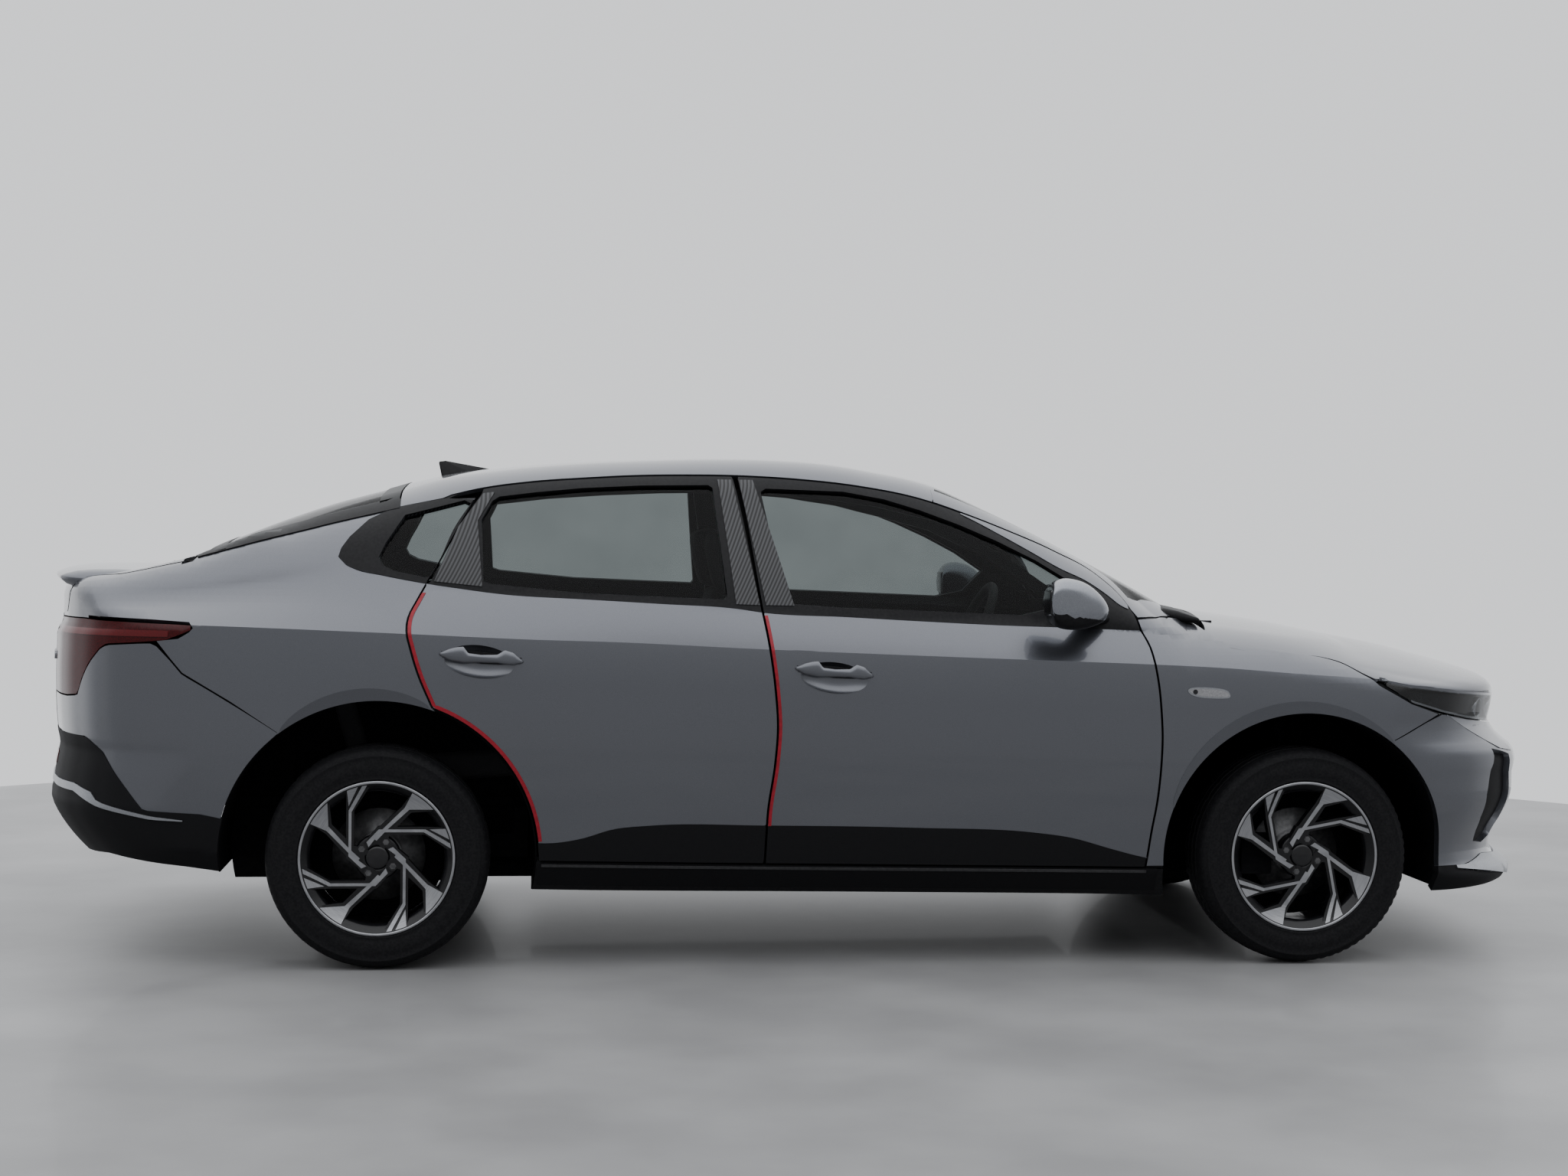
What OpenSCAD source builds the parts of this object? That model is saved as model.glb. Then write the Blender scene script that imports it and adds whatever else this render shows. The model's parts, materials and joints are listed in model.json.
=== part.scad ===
// Compact four-door saloon car at full size, in millimetres.
// +X is forward, +Y is the car's left, +Z is up, and the origin lies on the
// ground under the middle of the car's length.

/* [Body size] */
// Distance between the front and rear axles
wheelbase = 2680; // [2500:5:2900]
// Front axle to the foremost point of the bumper
front_overhang = 850; // [750:5:950]
// Rear axle to the rearmost point of the bumper
rear_overhang = 1015; // [900:5:1150]
// Width of the body without its mirrors
body_width = 1765; // [1650:5:1900]
// Height of the roof above the ground
body_height = 1475; // [1400:5:1600]

/* [Wheels] */
// Outside diameter of a tyre
tyre_d = 632; // [590:2:680]
// Width of a tyre
tyre_w = 205; // [175:5:245]
// Diameter of a rim at its outer flange
rim_d = 441; // [400:1:470]
// Distance between the tyre middles of one axle
track = 1540; // [1480:5:1600]
// Number of wheel bolts
lug_count = 4; // [4:1:5]
// Diameter of the wheel bolt circle
lug_pcd = 100; // [98:1:120]
// Radius of a wheel bolt hole
lug_r = 6.5; // [5:0.5:8]
// Radius of a hub's stub axle
stub_r = 14; // [10:1:20]
// Radial clearance of a running fit
run_fit = 0.06; // [0.04:0.01:0.1]
// Radius of a brake disc
disc_r = 132; // [110:1:150]
// Thickness of a brake disc
disc_t = 22; // [10:1:28]
// Front wheel arch edge beyond the tyre
arch_gap_front = 105; // [90:1:130]
// Rear wheel arch edge beyond the tyre
arch_gap_rear = 130; // [100:1:150]

/* [Panels] */
// Thickness of a door below its window
door_t = 70; // [50:1:90]
// Thickness of a door's window frame
frame_t = 34; // [24:1:45]
// Thickness of the roof with its lining
roof_t = 30; // [15:1:40]
// Thickness of the hood with its inner frame
hood_t = 26; // [15:1:40]
// Thickness of the boot lid with its inner frame
lid_t = 26; // [15:1:40]
// Thickness of the wings beside the engine
fender_t = 36; // [20:1:45]
// Thickness of the bumper covers
bumper_t = 24; // [12:1:35]
// Thickness of the rear side panels
quarter_t = 40; // [25:1:60]
// Thickness of the glass
glass_t = 6; // [4:0.5:8]
// Gap round the doors, hood and boot lid
panel_gap = 9; // [8:0.5:14]
// Small gap between pieces that sit on each other
seat_gap = 0.5; // [0.2:0.1:0.8]
// Depth of the side glass below the door's face
glass_inset = 9; // [4:0.5:15]
// Width of the frame round a side window
frame_w = 34; // [25:1:50]
// Thickness of a wheel arch liner
liner_t = 5; // [3:0.5:8]

/* [Hinges] */
// Radius of a hinge pin
pin_r = 6; // [4:0.5:8]
// Gap between a hinge pin and its eye
pin_fit = 0.25; // [0.15:0.05:0.4]
// Door hinge pin ahead of which the door's front edge lies
hinge_back = 80; // [60:1:110]
// Door hinge pin inboard of the body's greatest half-width
hinge_in = 24; // [18:1:32]
// Thickness of a hinge strap
strap_t = 10; // [6:1:14]
// Half height of the pocket for a hinge strap
pocket_h = 16; // [12:1:24]
// Length of a hinge pin in its eye
pin_len = 26; // [15:1:35]

/* [Cabin] */
// Thickness of the floor
floor_t = 30; // [15:1:45]
// Height of the floor's underside above the ground
floor_z = 215; // [180:5:260]
// Width of the floor between the sills
floor_w = 1400; // [1300:5:1460]
// Width of a front seat
seat_w = 500; // [440:5:540]
// Length of a front seat's cushion
seat_l = 510; // [450:5:560]
// Front seat middle from the car's middle
seat_y = 360; // [300:5:400]
// Diameter of the steering wheel
steer_d = 370; // [330:5:400]
// Thickness of the steering wheel's rim
steer_t = 30; // [22:1:36]

/* [Engine bay] */
// Length of the engine across the car
engine_w = 760; // [600:5:860]
// Height of the engine
engine_h = 480; // [400:5:540]
// Depth of the engine along the car
engine_l = 430; // [350:5:480]

/* [Hidden] */

axle_z = tyre_d / 2;
mid_x = (rear_overhang - front_overhang) / 2;
front_axle = mid_x + wheelbase / 2;
rear_axle = mid_x - wheelbase / 2;
arch_front_r = axle_z + arch_gap_front;
arch_rear_r = axle_z + arch_gap_rear;

// The body's lines are drawn for this size and carried to the size set above.
draw_half = 1340;
draw_front = 850;
draw_rear = 1015;
draw_width = 1765;
draw_height = 1475;
draw_axle_z = 316;

function sx(x) = mid_x + (x > draw_half ? wheelbase / 2 + (x - draw_half) * front_overhang / draw_front
  : x < -draw_half ? -wheelbase / 2 + (x + draw_half) * rear_overhang / draw_rear
  : x * wheelbase / (2 * draw_half));
function sy(y) = y * body_width / draw_width;
function sz(z) = axle_z + (z - draw_axle_z) * (body_height - axle_z) / (draw_height - draw_axle_z);
function at(p) = [sx(p[0]), sy(p[1]), sz(p[2])];

// A smooth curve through points whose first values rise.
function part_of(p, x, i = 0) = (i >= len(p) - 2 || x < p[i + 1][0]) ? i : part_of(p, x, i + 1);
function slope(p, i) = (p[i + 1][1] - p[i][1]) / (p[i + 1][0] - p[i][0]);
function lean(p, i) = i == 0 ? slope(p, 0) : i == len(p) - 1 ? slope(p, i - 1)
  : let(a = p[i][0] - p[i - 1][0], b = p[i + 1][0] - p[i][0])
    (b * slope(p, i - 1) + a * slope(p, i)) / (a + b);
function curve(p, x) = let(n = len(p) - 1)
  x <= p[0][0] ? p[0][1] + slope(p, 0) * (x - p[0][0])
  : x >= p[n][0] ? p[n][1] + slope(p, n - 1) * (x - p[n][0])
  : let(i = part_of(p, x), h = p[i + 1][0] - p[i][0], f = (x - p[i][0]) / h, g = 1 - f)
    p[i][1] * g * g * (1 + 2 * f) + p[i + 1][1] * f * f * (3 - 2 * f)
    + h * f * g * (g * lean(p, i) - f * lean(p, i + 1));
function smax(a, b, k) = let(h = max(k - abs(a - b), 0)) max(a, b) + h * h / (4 * k);

// Heights of the lines along the body's side.
Z_BOTTOM = [[-2360, 330], [-2200, 300], [-1770, 262], [-900, 233], [0, 222], [870, 211], [1770, 186],
  [2000, 190], [2190, 215]];
Z_SILL = [[-2360, 370], [-1770, 330], [-900, 306], [870, 280], [1770, 270], [2190, 290]];
Z_LOW = [[-2360, 750], [-2161, 744], [-1996, 734], [-1788, 740], [-1340, 775], [-921, 798], [-684, 793],
  [-249, 780], [191, 758], [638, 746], [886, 743], [1340, 735], [1770, 700], [2190, 660]];
Z_UP = [[-2360, 965], [-1835, 966], [-1650, 961], [-1438, 954], [-1267, 948], [-901, 934], [-684, 929],
  [-247, 911], [195, 896], [642, 882], [867, 875], [1094, 865], [1321, 849], [1527, 835], [1800, 800],
  [2190, 740]];
Z_BELT = [[-2360, 1025], [-1876, 1040], [-1671, 1058], [-1463, 1075], [-1207, 1076], [-989, 1058],
  [-552, 1036], [-243, 1012], [202, 992], [652, 976], [857, 965], [1052, 940], [1329, 905], [1463, 880],
  [1600, 850], [1900, 800], [2190, 755]];
Z_RAIL = [[-2360, 1080], [-2206, 1090], [-2121, 1099], [-2035, 1116], [-1950, 1134], [-1876, 1148],
  [-1779, 1175], [-1671, 1205], [-1562, 1233], [-1475, 1256], [-1379, 1275], [-1301, 1297], [-1214, 1318],
  [-1082, 1357], [-905, 1384], [-771, 1395], [-613, 1405], [-455, 1409], [-318, 1409], [-136, 1401],
  [46, 1383], [227, 1349], [362, 1305], [496, 1254], [628, 1197], [759, 1122], [857, 1040], [1000, 985],
  [1150, 965], [1329, 950], [1600, 890], [1900, 830], [2190, 775]];
// Half widths of those lines.
Y_MAX = [[-2360, 800], [-2200, 838], [-2000, 862], [-1700, 877], [-1340, 882.5], [-900, 880], [-300, 879],
  [400, 880], [900, 881], [1340, 882.5], [1600, 877], [1800, 862], [2000, 835], [2190, 795]];
BELT_IN = [[-2360, 110], [-2206, 115], [-1876, 135], [-1671, 137], [-1463, 118], [-1300, 105], [-900, 80],
  [857, 76], [1052, 78], [1329, 62], [1600, 60], [2190, 60]];
Y_RAIL = [[-2206, 668], [-1876, 664], [-1671, 660], [-1475, 655], [-1301, 643], [-1082, 612], [-771, 594],
  [-455, 586], [-136, 589], [46, 597], [227, 613], [362, 633], [496, 656], [628, 690], [759, 724],
  [857, 752], [1000, 735], [1150, 715], [1329, 700], [1600, 700], [1900, 690], [2190, 670]];
SECTION_IN = [70, 24, 0, 12];
SECTION_BULGE = [0, 8, 3, 4, 14];
// Middle lines of the roof with both screens, of the hood and of the boot lid.
ROOF = [[-2100, 1070], [-2020, 1110], [-1950, 1145], [-1880, 1183], [-1790, 1221], [-1700, 1257],
  [-1608, 1291], [-1516, 1322], [-1424, 1348], [-1350, 1368], [-1283, 1388], [-1189, 1411], [-1024, 1435],
  [-811, 1455], [-596, 1467], [-356, 1475], [-187, 1474], [7, 1462], [153, 1440], [250, 1423], [338, 1400],
  [430, 1362], [523, 1320], [663, 1254], [803, 1182], [944, 1108], [1040, 1055], [1120, 1008], [1200, 960]];
HOOD = [[900, 1035], [1050, 1024], [1166, 1013], [1375, 987], [1637, 940], [1795, 910], [1901, 885],
  [2034, 846], [2100, 815], [2150, 770], [2190, 720]];
DECK = [[-2360, 1070], [-2290, 1090], [-2206, 1101], [-2121, 1111], [-2035, 1127], [-1950, 1147],
  [-1885, 1163], [-1800, 1195]];
// Nose and tail in the middle, and how far each falls back towards the sides.
NOSE = [[150, 2060], [186, 2090], [215, 2150], [232, 2172], [250, 2172], [285, 2125], [330, 2112],
  [370, 2128], [408, 2152], [468, 2181], [540, 2189], [594, 2190], [612, 2182], [650, 2135], [690, 2105],
  [740, 2112], [771, 2116], [810, 2112], [860, 2070]];
NOSE_BACK = [[0, 0], [200, 8], [400, 38], [550, 88], [650, 140], [750, 230], [820, 340], [880, 480],
  [920, 600]];
TAIL = [[240, 2170], [258, 2197], [291, 2240], [337, 2287], [394, 2330], [438, 2352], [452, 2355],
  [480, 2350], [560, 2338], [590, 2332], [610, 2330], [625, 2334], [680, 2341], [770, 2345], [900, 2343],
  [940, 2340], [960, 2328], [1000, 2324], [1075, 2318], [1100, 2305], [1130, 2280]];
TAIL_BACK = [[0, 0], [200, 8], [350, 28], [500, 62], [600, 95], [700, 150], [780, 225], [830, 310],
  [870, 430], [900, 560]];

// One upright section of the side: height and half width of each line.
function section(x) = let(w = curve(Y_MAX, x))
  [[curve(Z_BOTTOM, x), w - SECTION_IN[0]], [curve(Z_SILL, x), w - SECTION_IN[1]],
   [curve(Z_LOW, x), w - SECTION_IN[2]], [curve(Z_UP, x), w - SECTION_IN[3]],
   [curve(Z_BELT, x), w - curve(BELT_IN, x)], [curve(Z_RAIL, x), curve(Y_RAIL, x)]];
function width_at(s, z, i = 0) = (i >= 4 || z < s[i + 1][0])
  ? let(f = (z - s[i][0]) / (s[i + 1][0] - s[i][0]))
    s[i][1] + (s[i + 1][1] - s[i][1]) * f + SECTION_BULGE[i] * 4 * f * (1 - f)
  : width_at(s, z, i + 1);
function roof_z(x, y) = let(q = (y / 640) * (y / 640), t = min(max((x + 475) / 775, -1), 1))
  curve(ROOF, x + 70 * q * t) - 30 * q;
function hood_z(x, y) = curve(HOOD, x) - 45 * pow(abs(y) / 700, 2.2);
function deck_z(x, y) = curve(DECK, x) - 10 * (y / 650) * (y / 650);
function top_z(x, y) = x > 600 ? max(hood_z(x, y), x < 1250 ? roof_z(x, y) : 0)
  : x < -1700 ? max(deck_z(x, y), x > -2100 ? roof_z(x, y) : 0) : roof_z(x, y);
function nose_x(y, z) = curve(NOSE, z) - curve(NOSE_BACK, abs(y));
function tail_x(y, z) = curve(TAIL_BACK, abs(y)) - curve(TAIL, z);
function blend(x) = x > 1050 ? 90 : x < -1700 ? 60 : 100;
// Above zero outside the body, below zero inside it.
function outside(x, y, z, s) = let(a = smax(abs(y) - width_at(s, z), z - top_z(x, y), blend(x)))
  x > 1450 ? smax(a, x - nose_x(y, z), 50) : x < -1450 ? smax(a, tail_x(y, z) - x, 50) : a;
function find_y(x, z, s, lo, hi, n) = n == 0 ? (lo + hi) / 2
  : let(m = (lo + hi) / 2) outside(x, m, z, s) > 0 ? find_y(x, z, s, lo, m, n - 1)
    : find_y(x, z, s, m, hi, n - 1);
function find_z(x, y, s, lo, hi, n) = n == 0 ? (lo + hi) / 2
  : let(m = (lo + hi) / 2) outside(x, y, m, s) > 0 ? find_z(x, y, s, lo, m, n - 1)
    : find_z(x, y, s, m, hi, n - 1);
function find_r(c, a, z, lo, hi, n) = n == 0 ? (lo + hi) / 2
  : let(m = (lo + hi) / 2, x = c + m * cos(a))
    outside(x, m * sin(a), z, section(x)) > 0 ? find_r(c, a, z, lo, m, n - 1)
    : find_r(c, a, z, m, hi, n - 1);
function find_x(y, z, lo, hi, n) = n == 0 ? (lo + hi) / 2
  : let(m = (lo + hi) / 2) outside(m, y, z, section(m)) > 0 ? find_x(y, z, m, hi, n - 1)
    : find_x(y, z, lo, m, n - 1);
function side_y(x, z) = find_y(x, z, section(x), 0, 900, 14);
function skin_z(x, y) = find_z(x, y, section(x), 500, 1500, 14);
function fan_r(c, a, z) = find_r(c, a, z, 300, 1400, 14);
function rear_x(y, z) = find_x(y, z, -2400, -1500, 14);

nose_c = draw_half;
function steps(a, b, n) = [for (i = [0:n]) a + (b - a) * i / n];

// A closed sheet between two grids of points, seen from outside with the
// first index to the right and the second one up.
module sheet(p, q) {
  n = len(p) - 1;
  m = len(p[0]) - 1;
  w = m + 1;
  k = (n + 1) * w;
  points = concat([for (r = p) for (c = r) c], [for (r = q) for (c = r) c]);
  faces = concat(
    [for (i = [0:n - 1]) for (j = [0:m - 1]) [i * w + j, i * w + j + 1, (i + 1) * w + j + 1]],
    [for (i = [0:n - 1]) for (j = [0:m - 1]) [i * w + j, (i + 1) * w + j + 1, (i + 1) * w + j]],
    [for (i = [0:n - 1]) for (j = [0:m - 1]) [k + i * w + j, k + (i + 1) * w + j + 1, k + i * w + j + 1]],
    [for (i = [0:n - 1]) for (j = [0:m - 1]) [k + i * w + j, k + (i + 1) * w + j, k + (i + 1) * w + j + 1]],
    [for (i = [0:n - 1]) [i * w, (i + 1) * w, k + (i + 1) * w]],
    [for (i = [0:n - 1]) [i * w, k + (i + 1) * w, k + i * w]],
    [for (i = [0:n - 1]) [(i + 1) * w + m, i * w + m, k + i * w + m]],
    [for (i = [0:n - 1]) [(i + 1) * w + m, k + i * w + m, k + (i + 1) * w + m]],
    [for (j = [0:m - 1]) [j + 1, j, k + j]],
    [for (j = [0:m - 1]) [j + 1, k + j, k + j + 1]],
    [for (j = [0:m - 1]) [n * w + j, n * w + j + 1, k + n * w + j + 1]],
    [for (j = [0:m - 1]) [n * w + j, k + n * w + j + 1, k + n * w + j]]);
  polyhedron(points, faces, convexity = 8);
}

// The right side's skin over the given stations; rows follow the body's lines.
// The thickness is t below the belt line and u above it.
ROWS_LOW = [0.9, 1.4, 2, 2.5, 3, 3.5, 4];
ROWS_HIGH = [4.12, 4.55, 5, 5.14];
function row_z(s, v) = let(i = min(max(floor(v), 0), 4)) s[i][0] + (s[i + 1][0] - s[i][0]) * (v - i);
module side_skin(xs, rows, t, u, inset = 0) {
  g = [for (x = xs) let(s = section(x)) [for (v = rows) let(z = row_z(s, v))
    [x, -find_y(x, z, s, 0, 900, 14), z, v]]];
  sheet([for (r = g) [for (c = r) at(c) + [0, inset, 0]]],
    [for (r = g) [for (c = r) at(c) + [0, inset + (c[3] < 4.06 ? t : u), 0]]]);
}
// The skin seen from above.
module top_skin(xs, ys, t, drop = 0) {
  g = [for (x = xs) let(s = section(x)) [for (y = ys) [x, y, find_z(x, y, s, 500, 1500, 14)]]];
  sheet([for (r = g) [for (c = r) at(c) - [0, 0, drop]]],
    [for (r = g) [for (c = r) at(c) - [0, 0, drop + t]]]);
}
// The nose's or tail's skin, from rays that leave an axle's middle.
module fan_skin(c, angles, low, high, rows, t, drop = 0) {
  g = [for (a = angles) [for (v = rows) let(b = abs(c > 0 ? a : 180 - a),
    z = lookup(b, low) * (1 - v) + lookup(b, high) * v, r = fan_r(c, a, z))
    [c + r * cos(a), r * sin(a), z, a]]];
  sheet([for (r = g) [for (p = r) at(p) - drop * [cos(p[3]), sin(p[3]), 0]]],
    [for (r = g) [for (p = r) at(p) - (drop + t) * [cos(p[3]), sin(p[3]), 0]]]);
}
function nose_fan(a) = concat([for (v = [len(a) - 1:-1:1]) -a[v]], a);
function tail_fan(a) = [for (v = nose_fan(a)) 180 + v];

// Whatever lies inside an outline seen from the side, from y0 to y1.
module side_prism(points, y0, y1) {
  translate([0, y1, 0]) rotate([90, 0, 0]) linear_extrude(y1 - y0)
    polygon([for (p = points) [sx(p[0]), sz(p[1])]]);
}
module side_room(points, y0, y1) {
  translate([0, y1, 0]) rotate([90, 0, 0]) linear_extrude(y1 - y0) offset(delta = seat_gap)
    polygon([for (p = points) [sx(p[0]), sz(p[1])]]);
}
module plan_prism(points, grow = 0) {
  linear_extrude(3 * body_height) offset(delta = grow) polygon([for (p = points) [sx(p[0]), sy(p[1])]]);
}
module rear_prism(points, x0, x1) {
  translate([sx(x0), 0, 0]) rotate([90, 0, 90]) linear_extrude(sx(x1) - sx(x0))
    polygon([for (p = points) [sy(p[0]), sz(p[1])]]);
}
// Everything inside is worked out as one mesh.
module one_mesh() {
  resize([0, 0, 0]) children();
}
module both_sides() {
  children();
  mirror([0, 1, 0]) children();
}
module arch_cut(x, r, y0, y1) {
  translate([x, y1, axle_z]) rotate([90, 0, 0]) cylinder(r = r, h = y1 - y0, $fn = 96);
}

// Lines where the panels meet, as seen from the side.
half_gap = panel_gap / 2;
DOOR_FRONT = [[280, 866], [315, 871], [392, 881], [471, 894], [583, 904], [672, 906], [739, 902],
  [827, 893], [875, 885], [929, 875], [972, 857], [1005, 847]];
DOOR_SPLIT = [[280, -245], [382, -241], [449, -238], [581, -220], [691, -213], [799, -221], [928, -239],
  [1014, -254], [1123, -272], [1301, -300], [1401, -319], [1420, -323]];
DOOR_REAR = [[700, -1170], [735, -1185], [837, -1229], [911, -1252], [953, -1262], [995, -1258],
  [1038, -1237], [1080, -1215], [1147, -1176], [1247, -1133], [1357, -1060]];
DOOR_TOP = [[-1150, 1340], [-1082, 1357], [-905, 1384], [-771, 1395], [-613, 1405], [-455, 1409],
  [-318, 1409], [-136, 1401], [46, 1383], [227, 1349], [362, 1305], [496, 1254], [628, 1197], [759, 1122],
  [815, 1062], [847, 1005]];
DOOR_BOTTOM = [[-1200, 311], [-900, 306], [870, 284]];
HOOD_SIDE = [[1052, 991], [1074, 965], [1106, 941], [1150, 928], [1239, 916], [1329, 906], [1408, 895],
  [1463, 878], [1517, 846], [1552, 828], [1700, 806], [1850, 788], [2018, 772], [2120, 770]];
SCREEN_SIDE = [[-1960, 1128], [-1876, 1152], [-1779, 1179], [-1671, 1209], [-1562, 1237], [-1475, 1260],
  [-1380, 1283], [-1301, 1302], [-1213, 1321], [-1150, 1334]];
DECK_SIDE = [[-2330, 1066], [-2206, 1081], [-2121, 1090], [-2035, 1106], [-1950, 1125], [-1876, 1144]];

function split_x(z) = curve(DOOR_SPLIT, z);
function split_room(z) = half_gap + 4 * min(max((z - 1000) / 400, 0), 1);
function door_front_outline(g) = concat(
  [for (z = steps(curve(DOOR_BOTTOM, 860) + g, 1000, 9)) [curve(DOOR_FRONT, z) - g, z]],
  [for (x = steps(842 - g, -310, 14)) [x, curve(DOOR_TOP, x) - g]],
  [for (z = steps(1398, curve(DOOR_BOTTOM, -240) + g, 9)) [split_x(z) + split_room(z) - half_gap + g, z]]);
function door_rear_outline(g) = concat(
  [for (z = steps(curve(DOOR_BOTTOM, -240) + g, 1398, 9)) [split_x(z) - split_room(z) + half_gap - g, z]],
  [for (x = steps(-330, -1062 + g, 8)) [x, curve(DOOR_TOP, x) - g]],
  [for (z = steps(1345, 735, 10)) [curve(DOOR_REAR, z) + g + (z > 1000 ? 6 * min((z - 1000) / 300, 1) : 0), z]],
  [[-1190, 700], [-1200, curve(DOOR_BOTTOM, -1200) + g]]);
WINDOW_FRONT = [[-246, 1362], [-231, 1372], [-1, 1366], [120, 1345], [225, 1314], [340, 1272], [448, 1226],
  [560, 1170], [665, 1104], [600, 1032], [508, 1012], [204, 1022], [-20, 1029], [-178, 1040], [-190, 1048]];
WINDOW_REAR = [[-1060, 1270], [-1030, 1325], [-1010, 1338], [-905, 1352], [-771, 1366], [-600, 1376],
  [-400, 1380], [-388, 1372], [-355, 1060], [-362, 1050], [-551, 1056], [-771, 1064], [-1030, 1088],
  [-1052, 1096]];
WINDOW_QUARTER = [[-1126, 1250], [-1090, 1316], [-1110, 1325], [-1180, 1306], [-1279, 1280], [-1330, 1200],
  [-1348, 1160], [-1336, 1137], [-1305, 1122], [-1215, 1104], [-1200, 1108]];

hinge_y = body_width / 2 - hinge_in;
hinge_x_front = sx(906) - hinge_back;
hinge_x_rear = sx(-213) - hinge_back;
HINGE_Z = [530, 810];
pin_core = pin_r * 0.65;

// Stations of the larger panels.
FRONT_DOOR_X = steps(-350, 930, 9);
REAR_DOOR_X = steps(-1300, -190, 7);
QUARTER_X = steps(-2255, -1040, 9);
ROOF_X = steps(-1330, 345, 13);
LID_X = steps(-2300, -1890, 6);
LID_Y = fan_y(690, 7);
LID_Z = [630, 680, 760, 850, 935, 965, 1010, 1050, 1072, 1086];

// Doors, with their window openings, handles and hinge eyes.
module hinge_pockets(hx) {
  for (z = HINGE_Z) {
    translate([hx - pin_r - 8, -hinge_y - pin_r - 3, sz(z) - pocket_h])
      cube([hinge_back + 60, hinge_y, 2 * pocket_h]);
    translate([hx, -hinge_y, sz(z) - pocket_h - pin_len - 2])
      cylinder(r = pin_core + pin_fit, h = 2 * (pocket_h + pin_len + 2), $fn = 32);
  }
}
module hinge_pins(hx, r, more) {
  for (z = HINGE_Z) translate([hx, -hinge_y, sz(z) - pocket_h - pin_len - more])
    cylinder(r = r, h = 2 * (pocket_h + pin_len + more), $fn = 32);
}
module door_hinges() {
  color("silver") both_sides() for (hx = [hinge_x_front, hinge_x_rear]) hinge_pins(hx, pin_core, 0);
}
module hinge_straps(hx) {
  for (z = HINGE_Z) {
    translate([hx, -hinge_y, sz(z) - strap_t / 2])
      cylinder(r = pin_r, h = strap_t, $fn = 32);
    translate([0, 0, sz(z) - strap_t / 2]) linear_extrude(strap_t)
      polygon([[hx - pin_r, -hinge_y], [hx + pin_r, -hinge_y], [hx + 58, -hinge_y + 125],
        [hx + 30, -hinge_y + 125]]);
  }
}
module handle(x0, x1, z0) {
  n = 4;
  g = [for (i = [0:n]) let(f = i / n, x = x0 + (x1 - x0) * f, h = 9 + 7 * sin(180 * f), z = z0 - 18 * f,
    y = side_y(x, z)) [[x, -y - 3 - 20 * sin(180 * f), z - h], [x, -y - 3 - 24 * sin(180 * f), z + h]]];
  sheet([for (r = g) [for (p = r) at(p)]], [for (r = g) [for (p = r) at([p[0], p[1] + 16, p[2]])]]);
}
module door_front() {
  color("slategray") one_mesh() difference() {
    union() {
      intersection() {
        side_skin(FRONT_DOOR_X, concat(ROWS_LOW, ROWS_HIGH), door_t, frame_t);
        side_prism(door_front_outline(half_gap), -body_width, 0);
      }
      handle(-160, 55, 858);
    }
    side_prism(WINDOW_FRONT, -body_width, 0);
    hinge_pockets(hinge_x_front);
  }
}
module door_rear() {
  color("slategray") one_mesh() difference() {
    union() {
      intersection() {
        side_skin(REAR_DOOR_X, concat(ROWS_LOW, ROWS_HIGH), door_t, frame_t);
        side_prism(door_rear_outline(half_gap), -body_width, 0);
      }
      handle(-1165, -940, 893);
    }
    side_prism(WINDOW_REAR, -body_width, 0);
    arch_cut(rear_axle, arch_rear_r + panel_gap, -body_width, 0);
    hinge_pockets(hinge_x_rear);
  }
}
module side_glass(outline, x0, x1, n) {
  color("darkslateblue", 0.6) one_mesh() intersection() {
    side_skin(steps(x0, x1, n), [3.8, 4.12, 4.4, 4.7, 5], glass_t, glass_t, glass_inset);
    translate([0, -body_width, 0]) rotate([90, 0, 0]) translate([0, 0, -body_width]) linear_extrude(body_width)
      offset(delta = -seat_gap) polygon([for (p = outline) [sx(p[0]), sz(p[1])]]);
  }
}
module glass_front() {
  side_glass(WINDOW_FRONT, -300, 720, 7);
}
module glass_rear() {
  side_glass(WINDOW_REAR, -1100, -320, 5);
}
module mirror_pod() {
  color("gray") one_mesh() difference() {
    union() {
      hull() {
        for (p = [[575, -905, 1085, 26], [600, -975, 1078, 30], [590, -900, 1025, 24], [600, -980, 1030, 24],
          [690, -920, 1050, 26], [680, -960, 1045, 24]])
          translate(at(p)) sphere(r = p[3], $fn = 10);
      }
      hull() {
        for (p = [[640, -905, 1010, 14], [690, -905, 1010, 14], [690, -800, 1005, 14], [760, -790, 1005, 14]])
          translate(at(p)) sphere(r = p[3], $fn = 8);
      }
    }
    side_skin(FRONT_DOOR_X, concat(ROWS_LOW, ROWS_HIGH), 200, 200, -seat_gap);
  }
}

// Side frame: sill, pillars, roof rail and rear side panel, with the hinge straps.
QUARTER_OUT = concat([[-1540, 600], [-1618, 675], [-1746, 756], [-1877, 834], [-1912, 875], [-1949, 921]],
  [[-1890, 926], [-1856, 944], [-1845, 960], [-1858, 971], [-1974, 977], [-2122, 985], [-2215, 989],
   [-2240, 1000], [-2245, 1080]],
  [for (x = steps(-2206, -1156, 15)) [x, x < -1876 ? curve(DECK_SIDE, x) - half_gap
    : curve(SCREEN_SIDE, x) - seat_gap]],
  [for (z = steps(1336, 735, 10)) [curve(DOOR_REAR, z) - half_gap, z]], [[-1200, 640]]);
SILL_OUT = concat([[-1000, 190]], [for (x = steps(-960, 950, 6)) [x, curve(DOOR_BOTTOM, x) - half_gap]],
  [[960, 190]]);
POST_Z = [270, 500, 760, 900, 960, 1010, 1050, 1080, 1160, 1270, 1372];
function post_y(x, z) = min(sy(757), sy(side_y(x, z))
  - (z < curve(Z_BELT, x) + 60 ? door_t + 8 : frame_t + 27));
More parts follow.
